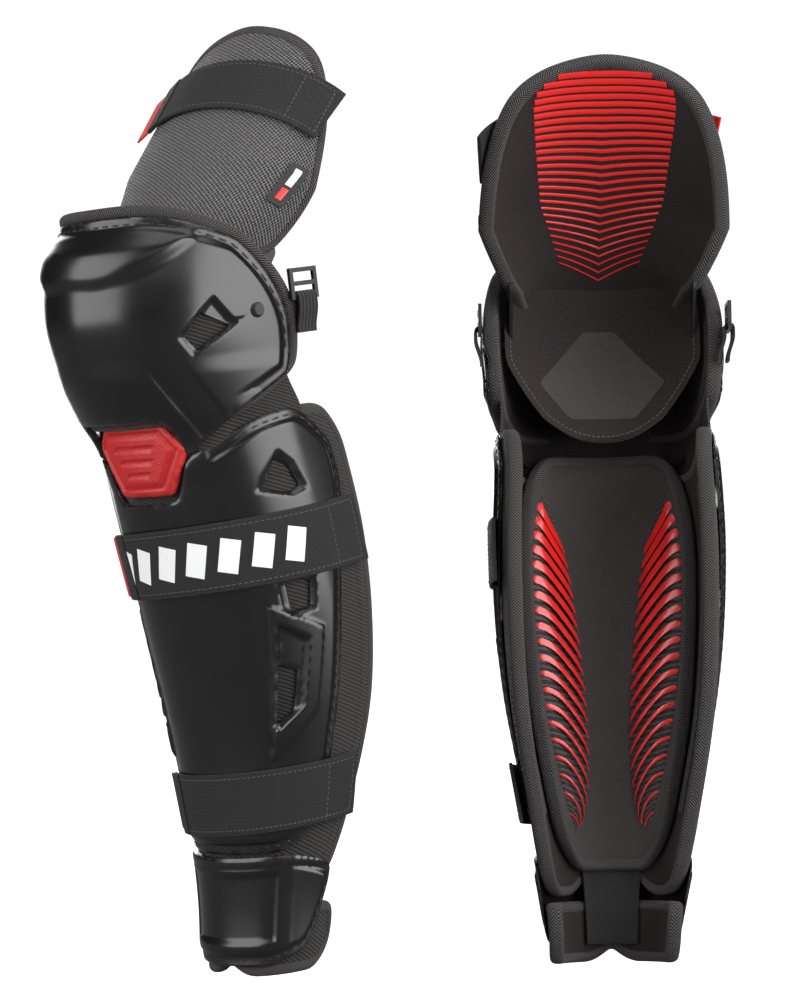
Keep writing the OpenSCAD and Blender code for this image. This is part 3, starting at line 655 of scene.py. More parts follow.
def bump_by(tree, shader, height, distance, strength=1.0, before=None):
    """Fine relief from a height, on top of the relief that came before."""
    inputs = {"Height": height, "Distance": distance, "Strength": strength}
    if before is not None:
        inputs["Normal"] = before
    bump = put(tree, "ShaderNodeBump", inputs)
    tree.links.new(bump.outputs[0], shader.inputs["Normal"])
    return bump.outputs[0]


def group_node(tree, group, inputs):
    return put(tree, "ShaderNodeGroup", inputs, node_tree=group)


# %% Moulded plastics and rubber
def plastic(name, colour, worn, roughness, coat, fine=1400.0, depth=0.00001, coords="Object"):
    """Moulded plastic or rubber: fine grain, and a worn colour in patches along its rims."""
    material, tree, shader, where = start_finish(name, roughness, coat=coat)
    rim = put(tree, "ShaderNodeAttribute", attribute_name="rim")
    skin = group_node(tree, grain, {"Vector": where.outputs[coords], "Fine": fine,
                                    "Rim": rim.outputs["Fac"]})
    colour_by(tree, shader, skin.outputs["Wear"], colour, worn)
    tree.links.new(ramp(tree, skin.outputs["Broad"], 0.3, 0.7, roughness - 0.03, roughness + 0.05),
                   shader.inputs["Roughness"])
    bump_by(tree, shader, skin.outputs["Fine"], depth)
    return material


shell_plastic = plastic("moulded shell", grey(0.006), grey(0.030), 0.24, 0.0)
rivet_plastic = plastic("rivet plastic", grey(0.010), grey(0.04), 0.34, 0.0)
ring_plastic = plastic("ring plastic", grey(0.010), grey(0.04), 0.3, 0.0)
badge_rubber = plastic("badge rubber", (0.42, 0.010, 0.012, 1), (0.62, 0.06, 0.05, 1),
                       0.46, 0.0, 900.0, 0.0004)
red_print = plastic("raised red print", (0.66, 0.016, 0.014, 1), (0.7, 0.03, 0.03, 1),
                    0.30, 0.2, 300.0, 0.0001)
white_print = plastic("white print", grey(0.80), grey(0.7), 0.5, 0.0)


# %% Cloths
def mesh_cloth(name, thread, gap, pitch, slant, opening, depth=0.0005, sheen=0.10):
    """Open mesh: threads round dark holes."""
    material, tree, shader, where = start_finish(name, 0.62, sheen, specular=0.3)
    weave = group_node(tree, open_mesh, {"Vector": where.outputs["UV"], "Pitch": pitch, "Slant": slant,
                                         "Opening": opening})
    colour_by(tree, shader, weave.outputs["Holes"], thread, gap)
    bump_by(tree, shader, weave.outputs["Height"], depth)
    return material


def twill_cloth(name, high, low, pitch, row, lean, depth=0.0003, sheen=0.10):
    """Woven tape: ridges that zigzag in rows."""
    material, tree, shader, where = start_finish(name, 0.72, sheen, specular=0.2)
    weave = group_node(tree, twill, {"Vector": where.outputs["UV"], "Pitch": pitch, "Row": row,
                                     "Lean": lean})
    colour_by(tree, shader, weave.outputs["Ridges"], low, high)
    bump_by(tree, shader, weave.outputs["Ridges"], depth)
    return material


def knit_cloth(name, high, low, rib, stitch, lean, depth=0.0005, sheen=0.10):
    """Knitted cloth: slanted ribs crossed by small stitches."""
    material, tree, shader, where = start_finish(name, 0.75, sheen, specular=0.2)
    weave = group_node(tree, ribbed, {"Vector": where.outputs["UV"], "Rib": rib, "Stitch": stitch,
                                      "Lean": lean})
    both = sums(tree, "MULTIPLY_ADD", weave.outputs["Ribs"], 0.6,
                sums(tree, "MULTIPLY", weave.outputs["Knit"], 0.4))
    colour_by(tree, shader, both, low, high)
    bump_by(tree, shader, both, depth)
    return material


def brushed_cloth(name, colour, nap, roughness, sheen):
    """Brushed lining: a soft nap over broad, shallow waves."""
    material, tree, shader, where = start_finish(name, roughness, sheen, specular=0.2)
    skin = group_node(tree, grain, {"Vector": where.outputs["UV"], "Fine": 1500.0, "Broad": 26.0})
    colour_by(tree, shader, ramp(tree, skin.outputs["Fine"], 0.35, 0.7), colour, nap)
    soft = bump_by(tree, shader, skin.outputs["Broad"], 0.0012, 0.6)
    bump_by(tree, shader, skin.outputs["Fine"], 0.0002, 1.0, soft)
    return material


spacer_mesh = mesh_cloth("spacer mesh", grey(0.17, 0.03), grey(0.001), 0.0019, 0.5, 0.60, 0.0013)
side_mesh = knit_cloth("ribbed side mesh", grey(0.050, 0.2), grey(0.004, 0.1),
                       0.0024, 0.0012, 0.45, 0.0008)
lining = brushed_cloth("brushed lining", grey(0.005, 0.3), grey(0.026, 0.3), 0.82, 0.08)
liner_cloth = mesh_cloth("liner cloth", grey(0.050, 0.2), grey(0.004, 0.2),
                         0.0011, 0.3, 0.52, 0.0004, 0.1)
tape = twill_cloth("binding tape", grey(0.080, 0.1), grey(0.002, 0.1), 0.0018, 0.0046, 1.0, 0.0005)
elastic = twill_cloth("strap elastic", grey(0.034), grey(0.005), 0.0011, 0.0011, 0.8, 0.0003, 0.05)
webbing = knit_cloth("webbing", grey(0.040), grey(0.006), 0.0026, 0.0016, 0.0)
hook_tape = mesh_cloth("hook tape", grey(0.03), grey(0.004), 0.0013, 0.0, 0.5, 0.0006)
thread = plastic("thread", grey(0.008), grey(0.008), 0.55, 0.0)
light_thread = plastic("light thread", grey(0.060, 0.1), grey(0.060, 0.1), 0.6, 0.0)
red_cloth = twill_cloth("red hook tab", (0.66, 0.018, 0.018, 1), (0.42, 0.012, 0.012, 1),
                        0.0016, 0.002, 0.5)
label_cloth = twill_cloth("woven label", grey(0.06), grey(0.03), 0.0006, 0.002, 0.0)

# %% [markdown]
# ## Shin shell
# The shell is one moulding. It has a thin flange to sew through, a raised body, a scooped vent high
# on each side, a small vent below the strap, and a long vent inside a raised frame. All of it is
# relief on the shin's surface, so the offset is a sum of soft steps measured from drawn outlines.

# %% Shell pattern
def shell_edge(z):
    """How far round the shell reaches, in degrees: narrow at the ankle and wide at the calf."""
    knots = [(0.16, 76), (0.24, 79), (0.33, 80), (0.41, 85), (0.52, 93), (0.61, 101), (0.73, 114),
             (0.80, 114)]
    return soft_curve(z / KNEE_Z, knots)


def shell_low(s):
    """Lower edge: level in front, then a rounded lift to the sides."""
    return 72 + 24 * np.maximum(0, (np.abs(s) - 0.55) / 0.45)**2


def shell_high(s):
    """Upper edge: a notch for the badge, a lobe on each side of it, and a fall at the back."""
    knots = [(0.16, 103), (0.18, 101), (0.27, 79), (0.37, 74), (0.53, 64), (0.66, 59), (0.84, 59), (1, 78)]
    return KNEE_Z - soft_curve(np.abs(s), knots)


shell_rim = pattern(shell_edge, shell_low, shell_high, SHIN_MM, 3.0)
HIGH_VENT = [(62.5, 280.5), (73.5, 297), (80, 292), (84, 279.5), (77, 277)]
HIGH_SCOOP = [(58, 279.5), (62, 287), (75, 303), (83, 294), (88, 277), (77, 274)]
MID_VENT = [(62.5, 227.5), (77, 226.5), (74.5, 211), (63, 209.5)]
MID_SCOOP = [(57.5, 228), (81, 232), (77, 208.5), (62, 206), (58, 212)]
LONG_VENT = [(51, 180.5), (61.5, 176.5), (57, 153), (46.5, 145)]
FRAME_OUT = [(51, 216), (73, 203.5), (79, 199), (70, 152), (59, 139), (42, 123), (43, 133)]
FRAME_IN = [(53.5, 205.5), (70, 194), (62.5, 153.5), (45.5, 139.5)]
shell_vents = [vent(v, SHIN_MM, side, 1.0) for v in (HIGH_VENT, MID_VENT, LONG_VENT) for side in (1, -1)]


def shell_relief(u, v, far):
    """Flange, raised body, side break, scoops and the long vent's frame, as one offset."""
    phi = np.abs(u) / SHIN_MM
    deep = within(u, v, shell_rim)
    sewn = step(phi, 38, 44) + (1 - step(v, 240, 262))
    top = 2.9 + 2.0 * np.maximum(step(deep, 5.0, 8.0), 1 - np.minimum(sewn, 1))
    top -= 0.9 * step(0.9 - far, 0, 0.9)
    top -= 0.9 * (1 - step(phi, 43.0, 46.5)) * step(v, 100, 125) * step(300 - v, 0, 14)
    for points, depth, soft in ((HIGH_SCOOP, -2.6, 3.5), (MID_SCOOP, -2.6, 3.0), (FRAME_OUT, 1.7, 1.8),
                                (FRAME_IN, -3.6, 3.0)):
        for side in (1, -1):
            top += depth * step(within(u, v, vent(points, SHIN_MM, side, 0.8)), 0, soft)
    top -= 1.8 * np.exp(-((v - 92 - 0.10 * phi) / 5)**2) * step(deep, 3, 8)
    return np.maximum(top, 1.7)


build("shin_shell_moulding", plate(shin, [shell_rim] + shell_vents, 1.35, shell_relief, level(1.1)),
      [shell_plastic], "shin", "shin_shell", sharp=35)

# %% [markdown]
# The shell is sewn to the pad through its flange: along the top and side edges, and in a row of short
# stitches along the bottom.

# %% Shell stitches
seam = shifted(shell_rim, 3.6)
right_edge = seam[(seam[:, 0] > 50 * SHIN_MM) & (seam[:, 1] > 96)]
left_edge = seam[(seam[:, 0] < -50 * SHIN_MM) & (seam[:, 1] > 96)]
low_edge = seam[(np.abs(seam[:, 0]) < 62 * SHIN_MM) & (seam[:, 1] < 100)]


def run_of(points, key):
    """Points of an open seam put in order."""
    return points[np.argsort(key)]


seams = []
for part in (right_edge, left_edge):
    centre = np.array([part[:, 0].mean() * 0.55, 200.0])
    turn = np.arctan2(part[:, 1] - centre[1], np.abs(part[:, 0]) - abs(centre[0]))
    seams.append(stitches(shin, run_of(part, turn), 2.9))
seams.append(stitches(shin, run_of(low_edge, low_edge[:, 0]), 2.9, 8.0, 3.0, 0.6))

# %% [markdown]
# ## Base pad
# The foam pad behind the shell has wide wings round the calf and two lobes at the ankle. It is
# pressed thin at its edge, where tape is sewn over it, so its thickness falls away near the rim.

# %% Base pad
def wing_edge(z):
    """How far round the pad's wings reach, in degrees."""
    knots = [(0.1, 86), (0.17, 92), (0.22, 99), (0.31, 108), (0.48, 118), (0.64, 125), (0.83, 126)]
    return soft_curve(z / KNEE_Z, knots)


def base_low(s):
    """Lower edge: an arch in the middle between two lobes."""
    return 45 + 22 * np.maximum(0, 1 - np.abs(s) / 0.5) + 16 * np.maximum(0, (np.abs(s) - 0.7) / 0.3)**2


def base_high(s):
    """Upper edge: level in front and a rounded lobe on each wing."""
    knots = [(0, 84), (0.5, 84), (0.64, 74), (0.78, 61), (0.93, 62), (1, 78)]
    return KNEE_Z - soft_curve(np.abs(s), knots)


def pressed(far, full, thin, reach):
    """Half thickness that grows from thin at the rim to full inside, on a rounded shoulder."""
    t = np.clip(far / reach, 0, 1)
    return thin + (full - thin) * np.sqrt(1 - (1 - t)**2)


def pad(surface, loop, cell, low, high, thin=2.6, reach=9.0, crown=0.0):
    """A foam pad between two offsets, pressed thin at its rim and a little fuller in its middle."""
    middle, half = (low + high) / 2, (high - low) / 2

    def top(u, v, far):
        return middle + pressed(far, half, thin, reach) + crown * step(far, 4, 30)

    def bottom(u, v, far):
        return middle - pressed(far, half, thin, reach)
    return plate(surface, [loop], cell, top, bottom)


def tape_round(surface, loop, low, high, wide=7.0, out=3.4, thin=2.6):
    """Binding tape folded over a pad's rim."""
    middle = (low + high) / 2
    path = even(loop, 2.0)
    return ribbon(surface, path, out - wide, out, middle - thin - 2.1, middle + thin + 2.1, True, 2.6, 18)


def foam():
    """Returns a step that leaves a piece as it is."""
    return lambda piece: piece


base_rim = pattern(wing_edge, base_low, base_high, SHIN_MM, 5.0)
build("base_pad_foam", pad(shin, base_rim, 2.2, -8, 0), [side_mesh, lining], "shin",
      "base_pad", declare=foam())
build("base_binding_tape", tape_round(shin, base_rim, -8, 0), [tape], "shin",
      "base_binding")
wing_seam = shifted(base_rim, 9.5)
wing_seam = wing_seam[np.abs(wing_seam[:, 0]) > 0]
seams.append(stitches(shin, wing_seam, 0.05, 3.4, 2.4, 0.35, True))
build("shin_stitches", together(*seams), [thread], "shin")

# %% Loop strips on the pad's lining
strips = []
for side in (-1, 1):
    z = np.linspace(92, 292, 60)
    u = side * soft_curve(z / KNEE_Z, [(0.24, 80), (0.45, 88), (0.64, 92), (0.78, 92)]) * SHIN_MM
    strips.append(ribbon(shin, np.stack([u, z], 1), -8, 8, -9.4, -7.6, False, 8, 24))
build("loop_strips", together(*strips), [hook_tape], "shin")

# %% [markdown]
# ## Knee gusset
# A band of mesh closes the gap between the shin shell and the knee cap; on the real guard it stretches
# when the knee section flexes. Here its lower part follows the shin's surface and its upper part the
# knee's, blended between the two surfaces, and the piece is fixed in place rather than riding on either body.

# %% Gusset
def gusset(u, v, off):
    """The shin's surface turning into the knee's between two heights."""
    phi = np.abs(u) / SHIN_MM
    bulge = 2.4 * step(phi, 27, 35) * (1 - step(phi, 50, 62)) * step(v, 300, 308)
    low = shin(u, v, off - 0.2 + bulge)
    high = knee(u / SHIN_MM / 1.14 * KNEE_MM, v, off - 9.5)
    return mix(low, high, step(v, 318, 352)[..., None])


s = np.linspace(-1, 1, 60)
gusset_rim = soften(np.concatenate([np.stack([s * 100 * SHIN_MM, 0 * s + 288], 1),
                                    np.stack([s * 100 * SHIN_MM, 0 * s + 352], 1)[::-1]]), 3)


gusset_pair = build("knee_gusset_mesh", plate(gusset, [gusset_rim], 2.2, level(0.7), level(-0.7)),
                    [side_mesh, lining], "shin", "knee_gusset", ride=False)
for side, piece in zip(SIDES, gusset_pair):
    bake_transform(piece)

# %% [markdown]
# ## Badge
# A soft rubber badge is moulded with a rolled edge, a sunk stitch line and a plain motif of three
# bars. It sits in the gap between the cap's notch and the shell's notch.

# %% Badge
BADGE = [(-17, 325), (23, 325), (33, 308.5), (18.5, 282.5), (-13.5, 282.5), (-25, 312)]
badge_rim = vent(BADGE, SHIN_MM, 1, 2.0)
bars = []
for row, half in enumerate((8.0, 11.5, 13.5)):
    low = 293.5 + 7.6 * row
    bars.append(soften(np.array([(3.5 - half, low), (2.5 + half, low), (4.5 + half, low + 3.8),
                                 (5.5 - half, low + 3.8)]), 0.5, 0.4))


def badge_relief(u, v, far):
    """Rolled edge, sunk stitch line, raised middle and three sunk bars."""
    top = 3.2 + 3.4 * np.sqrt(1 - (1 - np.clip(far / 3.6, 0, 1))**2) - 0.6 * step(far, 3.6, 5.2)
    top -= 0.9 * np.exp(-((far - 5.2) / 0.5)**2)
    top += 1.1 * step(far, 5.8, 9)
    for bar in bars:
        top -= 1.1 * step(within(u, v, bar), 0, 0.8)
    return top


build("badge_moulding", plate(shin, [badge_rim], 0.7, badge_relief, level(1.4)),
      [badge_rubber], "shin", "badge", sharp=60)

# %% [markdown]
# ## Knee cap
# The cap is a dome with a rolled brow at the top, a kite-shaped scoop vent on each side and soft
# facets that run down to the points beside the badge. A dashed seam joins it to the knee pad.

# %% Cap pattern
def cap_edge(z):
    """How far round the cap reaches, in degrees: widest just below the rivets."""
    return 88 - 14 * ((z - 366) / 50)**2


def cap_high(s):
    """Upper edge: level, and rounded off at the corners."""
    return KNEE_Z + 59 - 18 * np.abs(s)**5


def cap_low(s):
    """Lower edge: level over the badge, down to a point on each side of it, then a straight rise."""
    s = np.abs(s)
    side = np.where(s <= 0.48, mix(55.5, 77, (s - 0.345) / 0.135), 77 - 76 * (s - 0.48))
    return KNEE_Z - np.where(s <= 0.345, 55.5, side)


cap_rim = pattern(cap_edge, cap_low, cap_high, KNEE_MM, 2.6)
KITE = [(54.5, 383.5), (64.5, 374.5), (51, 362.5), (47.2, 370.5)]
KITE_SCOOP = [(59.5, 393), (44.6, 371), (49.2, 358.8), (73, 379), (66, 378)]
cap_vents = [vent(KITE, KNEE_MM, side, 0.8) for side in (1, -1)]


def cap_relief(u, v, far):
    """Flange, brow, lower facets and kite scoops, as one offset."""
    phi = np.abs(u) / KNEE_MM
    deep = within(u, v, cap_rim)
    body = step(deep, 5.0, 8.5)
    notch = step(v, KNEE_Z - 46, KNEE_Z - 36) + step(phi, 60, 74)
    top = -1.5 + 2.0 * np.maximum(body, 1 - np.minimum(notch, 1)) - 0.9 * step(0.9 - far, 0, 0.9)
    brow = soft_curve(phi, [(0, 406), (20, 405), (44, 416), (58, 431), (66, 440)])
    top += 3.4 * step(v, brow - 5, brow + 7) * (1 - step(v, 421, 433))
    facet = 30 + (357 - v) * 0.26
    top += 1.3 * (1 - step(phi, facet - 1.2, facet + 1.2)) * step(364 - v, 0, 18)
    facet = 47 + (352 - v) * 0.3
    top += 1.0 * step(phi, facet - 1.0, facet + 1.0) * step(360 - v, 0, 12)
    for side in (1, -1):
        top -= 2.8 * step(within(u, v, vent(KITE_SCOOP, KNEE_MM, side, 0.6)), 0, 4.0)
    return np.maximum(top, -2.1) - tuck(v)


def tuck(v):
    """The two lower points lean in towards the shin."""
    return 3.2 * step(331 - v, 0, 24)


build("knee_cap_moulding", plate(knee, [cap_rim] + cap_vents, 1.15, cap_relief,
                                 lambda u, v, far: -2.9 - tuck(v)),
      [shell_plastic], "knee", "knee_cap", sharp=35)

# %% Cap stitches
seam = shifted(cap_rim, 3.8)
upper = seam[seam[:, 1] > 340]
turn = np.arctan2(upper[:, 0], upper[:, 1] - 335)
cap_seam = stitches(knee, run_of(upper, turn), -1.45, 8.0, 6.2, 0.55)

# %% Knee pad and its tape
def knee_pad_high(s):
    """Upper edge, just above the cap's."""
    return KNEE_Z + 62.5 - 20 * np.abs(s)**5


def knee_pad_low(s):
    """Lower edge: level in front, with a rounded lift to the sides."""
    return KNEE_Z - 56 + 24 * np.maximum(0, (np.abs(s) - 0.6) / 0.4)**2


knee_rim = pattern(lambda z: cap_edge(z) + 3, knee_pad_low, knee_pad_high, KNEE_MM, 4.0)
build("knee_pad_foam", pad(knee, knee_rim, 2.6, -12.3, -4.3), [side_mesh, lining], "knee",
      "knee_pad", declare=foam())
build("knee_binding_tape", tape_round(knee, knee_rim, -10.6, -3.4), [tape], "knee",
      "knee_binding")
build("knee_stitches", cap_seam, [thread], "knee")

# %% [markdown]
# ## Side webbing
# A short loop of webbing is doubled through each plastic ring. It is a strip carried up, over the
# ring's bar and down again.

# %% Webbing loops
def loop_strip(side):
    """A strip of webbing in the guard's side plane, bent in a half circle over the ring's lower bar."""
    angle = np.linspace(0, math.pi, 15)
    x = np.concatenate([np.full(8, 2.8), 2.8 * np.cos(angle), np.full(8, -2.8)])
    z = np.concatenate([np.linspace(-20, -1, 8), 2.8 * np.sin(angle), np.linspace(-1, -20, 8)])
    line = np.stack([x, z], 1)
    run = np.concatenate([[0], np.cumsum(np.hypot(*np.diff(line, axis=0).T))])
    ahead = np.gradient(line, axis=0)
    ahead /= np.linalg.norm(ahead, axis=1, keepdims=True)
    out = np.stack([ahead[:, 1], -ahead[:, 0]], 1)

    def strip(u, v, off):
        i = np.clip(u, 0, run[-1])
        at = np.stack([np.interp(i, run, line[:, c]) + np.interp(i, run, out[:, c]) * off
                       for c in (0, 1)], -1)
        lean = 3.5 * step(-at[..., 1], 4, 19)
        return np.stack([side * (KNEE / 2 + 0.4 + at[..., 0] - lean), 8 + v, KNEE_Z + 4 + at[..., 1]], -1)
    path = np.stack([np.linspace(0, run[-1], 44), np.zeros(44)], 1)
    return ribbon(strip, path, -7, 7, -1.2, 0.8, False, 6, 20)


build("side_webbing_loops", together(loop_strip(-1), loop_strip(1)), [webbing], "knee",
      "side_webbing")

# %% [markdown]
# ## Thigh pad
# The thigh pad is one shaped foam pad: open spacer mesh outside, brushed lining inside, a soft crown,
# and tape round the edge. The lining carries a raised print of chevrons that get thinner downwards.

# %% Thigh pad
def thigh_reach(h):
    """How far round the thigh pad reaches, in degrees: full width low down and a round top."""
    return 90 - soft_curve(h / THIGH_LONG, [(0.37, 0), (0.64, 17), (0.82, 34), (0.91, 49), (1, 84)])


thigh_rim = pattern(thigh_reach, lambda s: mix(-20, 40, np.minimum(1, np.abs(s) / 0.95)**2),
                    lambda s: THIGH_LONG * (0.985 - 0.03 * s**2), THIGH_MM, 8.0)
build("thigh_pad_foam", pad(thigh, thigh_rim, 2.0, -8, 0, 2.6, 11.0, 1.2), [spacer_mesh, lining],
      "thigh", "thigh_pad", declare=foam())
build("thigh_binding_tape", tape_round(thigh, thigh_rim, -8, 0, 8.0, 3.2), [tape], "thigh",
      "thigh_binding")

# %% Chevron print
CHEVRONS = 27
prints = []
for row in range(CHEVRONS):
    h = 172 - 5.1 * row
    down = row / (CHEVRONS - 1)
    drop = soft_curve(down, [(0, 0.5), (0.3, 3), (1, 17)])
    wide = soft_curve(down, [(0, 40), (0.3, 38), (1, 30)]) * THIGH_MM
    room = np.interp(h, [154, 164, 170, 176], [1, 0.93, 0.72, 0.4])
    half = max(0.4, mix(2.0, 0.4, down))
    u = np.concatenate([np.linspace(-wide * room, 0, 16), np.linspace(0, wide * room, 16)[1:]])
    v = h - drop * (1 - np.abs(u) / wide)
    prints.append(ribbon(thigh, np.stack([u, v], 1), -half, half, -8.9, -7.7, False, 4, 8))
build("lining_print", together(*prints), [red_print], "thigh")

# %% Knee flap
half = np.array([(60, 400), (60, 369), (49, 350), (37, 333), (20, 322), (7, 319)])
flap_rim = soften(np.concatenate([[(-54, 418)], half * [-1, 1], half[::-1], [(54, 418)]]), 4.0)
build("knee_flap_foam", plate(flap, [flap_rim], 1.8, lambda u, v, far: -0.9 * (1 - step(far, 0, 3)),
                              lambda u, v, far: -4.9 + 0.9 * (1 - step(far, 0, 3))),
      [lining, lining], "thigh", "knee_flap", declare=foam())
patch = soften(np.array([(-39, 357), (-20, 334), (20, 334), (39, 357), (10, 392), (-10, 392)]), 1.5)
build("flap_patch", plate(flap, [patch], 1.6, level(-4.4),
                          lambda u, v, far: -5.4 + 0.3 * (1 - step(far, 0, 1.5))),
      [liner_cloth], "thigh")
flap_seam = shifted(flap_rim, 3.5)
build("thigh_stitches", together(stitches(flap, flap_seam[flap_seam[:, 1] < 396], -4.9, 3.0, 2.2, 0.4),
                                 stitches(thigh, shifted(thigh_rim, 6.5), -7.2, 3.2, 2.2, 0.3, True)),
      [light_thread], "thigh")

# %% Blank side label
label_rim = soften(np.array([(64, 62), (76, 62), (76, 88), (64, 88)]) * [THIGH_MM, 1], 1.0, 0.6)
build("side_label_cloth", plate(thigh, [label_rim], 1.0, level(2.5), level(1.7)),
      [label_cloth], "thigh", "side_label")
for name, finish, low, high in (("label_red_stripe", red_print, 65, 72),
                                ("label_white_stripe", white_print, 74, 85)):
    line = np.stack([np.full(12, 70 * THIGH_MM), np.linspace(low, high, 12)], 1)
    build(name, ribbon(thigh, line, -2.6, 2.6, 2.4, 2.75, False, 8, 12), [finish], "thigh")

# %% [markdown]
# ## Straps
# Each strap is flat elastic sewn at its rear end. It lies on the shell, leaves it in a straight line
# near the free end, and ends in a bright hook tab. The strap's own surface adds that straight part to
# the offset.

# %% Straps and tabs
FREE = -40.0          # angle where a strap's elastic ends
TAB_END = -54.0       # angle where its hook tab ends


def lifted(surface, mm, radius):
    """A surface whose offset grows past the free end, as on a tangent line."""
    def strap(u, v, off):
        past = np.maximum(0, FREE + 6 - np.asarray(u, float) / mm)
        return surface(u, v, off + radius(v) * (1 / np.cos(np.radians(past)) - 1))
    return strap


def strap_set(name, surface, mm, middle, wide, low, high, last, tab, body):
    """The elastic, its hems and its hook tab, along a middle line given in degrees."""
    angle = np.linspace(FREE, last, 90)
    path = np.stack([angle * mm, middle(angle)], 1)
    band = ribbon(surface, path, -wide / 2, wide / 2, low, high, False, 9, 32)
    hem = ribbon(surface, path[:10], -wide / 2 + 0.3, wide / 2 - 0.3, high - 0.3, high + 0.7,
                 False, 8, 20)
    build(name + "_elastic", together(band, hem), [elastic], body, name)
    angle = np.linspace(TAB_END, FREE - 0.2, 14)
    path = np.stack([angle * mm, middle(angle)], 1)
    hook = ribbon(surface, path, -wide / 2 + 1.6, wide / 2 - 1.6, low + 0.4, high - 0.3, False, 9, 20)
    build(name + "_hook_tab", hook, [tab], body, name + "_tab")
    rows = []
    for side in (-1, 1):
        angle = np.linspace(FREE + 3, last - 3, 80)
        rows.append(stitches(surface, np.stack([angle * mm, middle(angle) + side * (wide / 2 - 3)], 1),
                             high, 3.2, 2.2, 0.32))
    for at in (FREE + 4, last - 22, last - 4):
        across = middle(at) + np.linspace(-1, 1, 30) * (wide / 2 - 3)
        rows.append(stitches(surface, np.stack([np.full(30, at * mm), across], 1), high, 3.2, 2.2, 0.32))
    build(name + "_stitches", together(*rows), [light_thread], body)


def shin_line(angle):
    """Middle height of the shin strap, which rises to the rear."""
    return 243 + 8 * angle / 120


shin_strap = lifted(shin, SHIN_MM, shin_half)
strap_set("shin_strap", shin_strap, SHIN_MM, shin_line, 39, 5.0, 7.1, 117,
          red_cloth, "shin_strap_body")
strap_set("ankle_strap", shin_strap, SHIN_MM, lambda a: 101 + 5 * a / 120, 36, 5.0, 7.1, 98,
          elastic, "ankle_strap_body")
strap_set("thigh_strap", lifted(thigh, THIGH_MM, lambda v: 76.0), THIGH_MM,
          lambda a: 131 - 10 * (a / 90)**2, 36, 2.4, 4.6, 71, red_cloth, "thigh_strap_body")

# %% A plain printed motif in place of lettering
slashes = []
for k in range(7):
    at = -27 + 17 * k
    rise = np.linspace(-9.5, 9.5, 10)
    path = np.stack([at + 0.28 * rise, shin_line(at / SHIN_MM) + rise], 1)
    slashes.append(ribbon(shin_strap, path, -5.0, 5.0, 6.9, 7.25, False, 10, 12))
build("shin_strap_print", together(*slashes), [white_print], "shin_strap_body")

# %% [markdown]
# ## Liner
# The liner is a soft flat pad that grips the base pad's lining. Two crescent bolsters stand beside
# the shin bone, and raised red bars sweep across them, thick at the top and thin at the bottom.

# %% Liner pad
def liner_edge(z):
    """How far round the liner reaches, in degrees."""
    knots = [(0.16, 40), (0.2, 58), (0.26, 67), (0.45, 71), (0.68, 70), (0.78, 56), (0.815, 40)]
    return 3 + soft_curve(z / KNEE_Z, knots)


liner_rim = pattern(liner_edge, lambda s: 60 + 0 * s, lambda s: KNEE_Z - 71 + 0 * s, SHIN_MM, 6.0)
build("liner_pad_foam", pad(shin, liner_rim, 2.0, -17.4, -10.4, 2.2, 10.0), [liner_cloth, liner_cloth],
      "liner", "liner_pad", declare=foam())
build("liner_binding_tape", tape_round(shin, liner_rim, -17.2, -10.8, 7.5, 3.2, 2.2), [tape], "liner",
      "liner_binding")


# %% Bolsters and their bars
BOLSTER_LOW, BOLSTER_LONG, BARS = 78, 210, 20


def crescent(v):
    """Inner and outer edge of a bolster at height v, in degrees round the shin."""
    t = (v - BOLSTER_LOW) / BOLSTER_LONG
    inner = soft_curve(t, [(0, 40), (0.1, 24), (0.3, 17), (0.6, 21), (0.85, 31), (1, 47)])
    outer = soft_curve(t, [(0, 43), (0.1, 54), (0.3, 64), (0.6, 70), (0.85, 68), (1, 56)])
    return inner, outer


def bolster(side):
    """Face of a bolster: it crowns between the crescent's edges and sinks to nothing at both tips."""
    def surface(u, v, off):
        u, v, off = np.broadcast_arrays(*[np.asarray(q, float) for q in (u, v, off)])
        inner, outer = crescent(v)
        across = np.clip((2 * u / SHIN_MM - inner - outer) / (outer - inner), -1, 1)
        belly = np.clip(np.sin(math.pi * np.clip((v - BOLSTER_LOW) / BOLSTER_LONG, 0.02, 0.98)), 0, 1)**0.55
        crown = 9.0 * belly * (1 - np.abs(across)**3)
        return shin(side * u, v, -16.6 - crown - off)
    return surface


bodies, bars = [], []
for side in (-1, 1):
    surface = bolster(side)
    v = np.linspace(BOLSTER_LOW, BOLSTER_LOW + BOLSTER_LONG, 90)
    inner, outer = crescent(v)
    wide = (outer - inner) / 2 * SHIN_MM
    bodies.append(ribbon(surface, np.stack([(inner + outer) / 2 * SHIN_MM, v], 1), -wide, wide,
                         -1.5, 0, False, 30, 48))
    for row in range(BARS):
        up = row / (BARS - 1)
        start = 92 + 190 * up**0.92
        w = np.linspace(0.02, 0.98, 26)
        v = start - 31 * w**1.35
        inner, outer = crescent(v)
        keep = (v > 84) & (outer - inner > 4)
        if keep.sum() > 4:
            ends = np.clip(np.minimum(w, 1 - w) * 12 + 0.3, 0, 1)
            half = (mix(0.45, 3.1, up**0.8) * (1 - 0.25 * w**1.5) * ends)[keep]
            path = np.stack([mix(outer, inner, w) * SHIN_MM, v], 1)[keep]
            bars.append(ribbon(surface, path, -half, half, -0.3, 0.55, False, 3, 8))
build("liner_bolster_foam", together(*bodies), [liner_cloth], "liner", "liner_bolsters",
      declare=foam())
build("bolster_print", together(*bars), [red_print], "liner")

# %% [markdown]
# ## Ankle section
# A small shell and its own pad hinge below the shin shell, and an elastic tab ties the pad up to the
# lining behind.

# %% Ankle plate
plate_rim = pattern(lambda z: soft_curve(z, [(8, 62), (20, 76), (40, 86), (58, 89), (70, 80)]),
                    lambda s: 8 + 6 * np.maximum(0, (np.abs(s) - 0.7) / 0.3),
                    lambda s: 70 - 10 * np.maximum(0, (np.abs(s) - 0.6) / 0.4)**2,
                    SHIN_MM, 2.6)


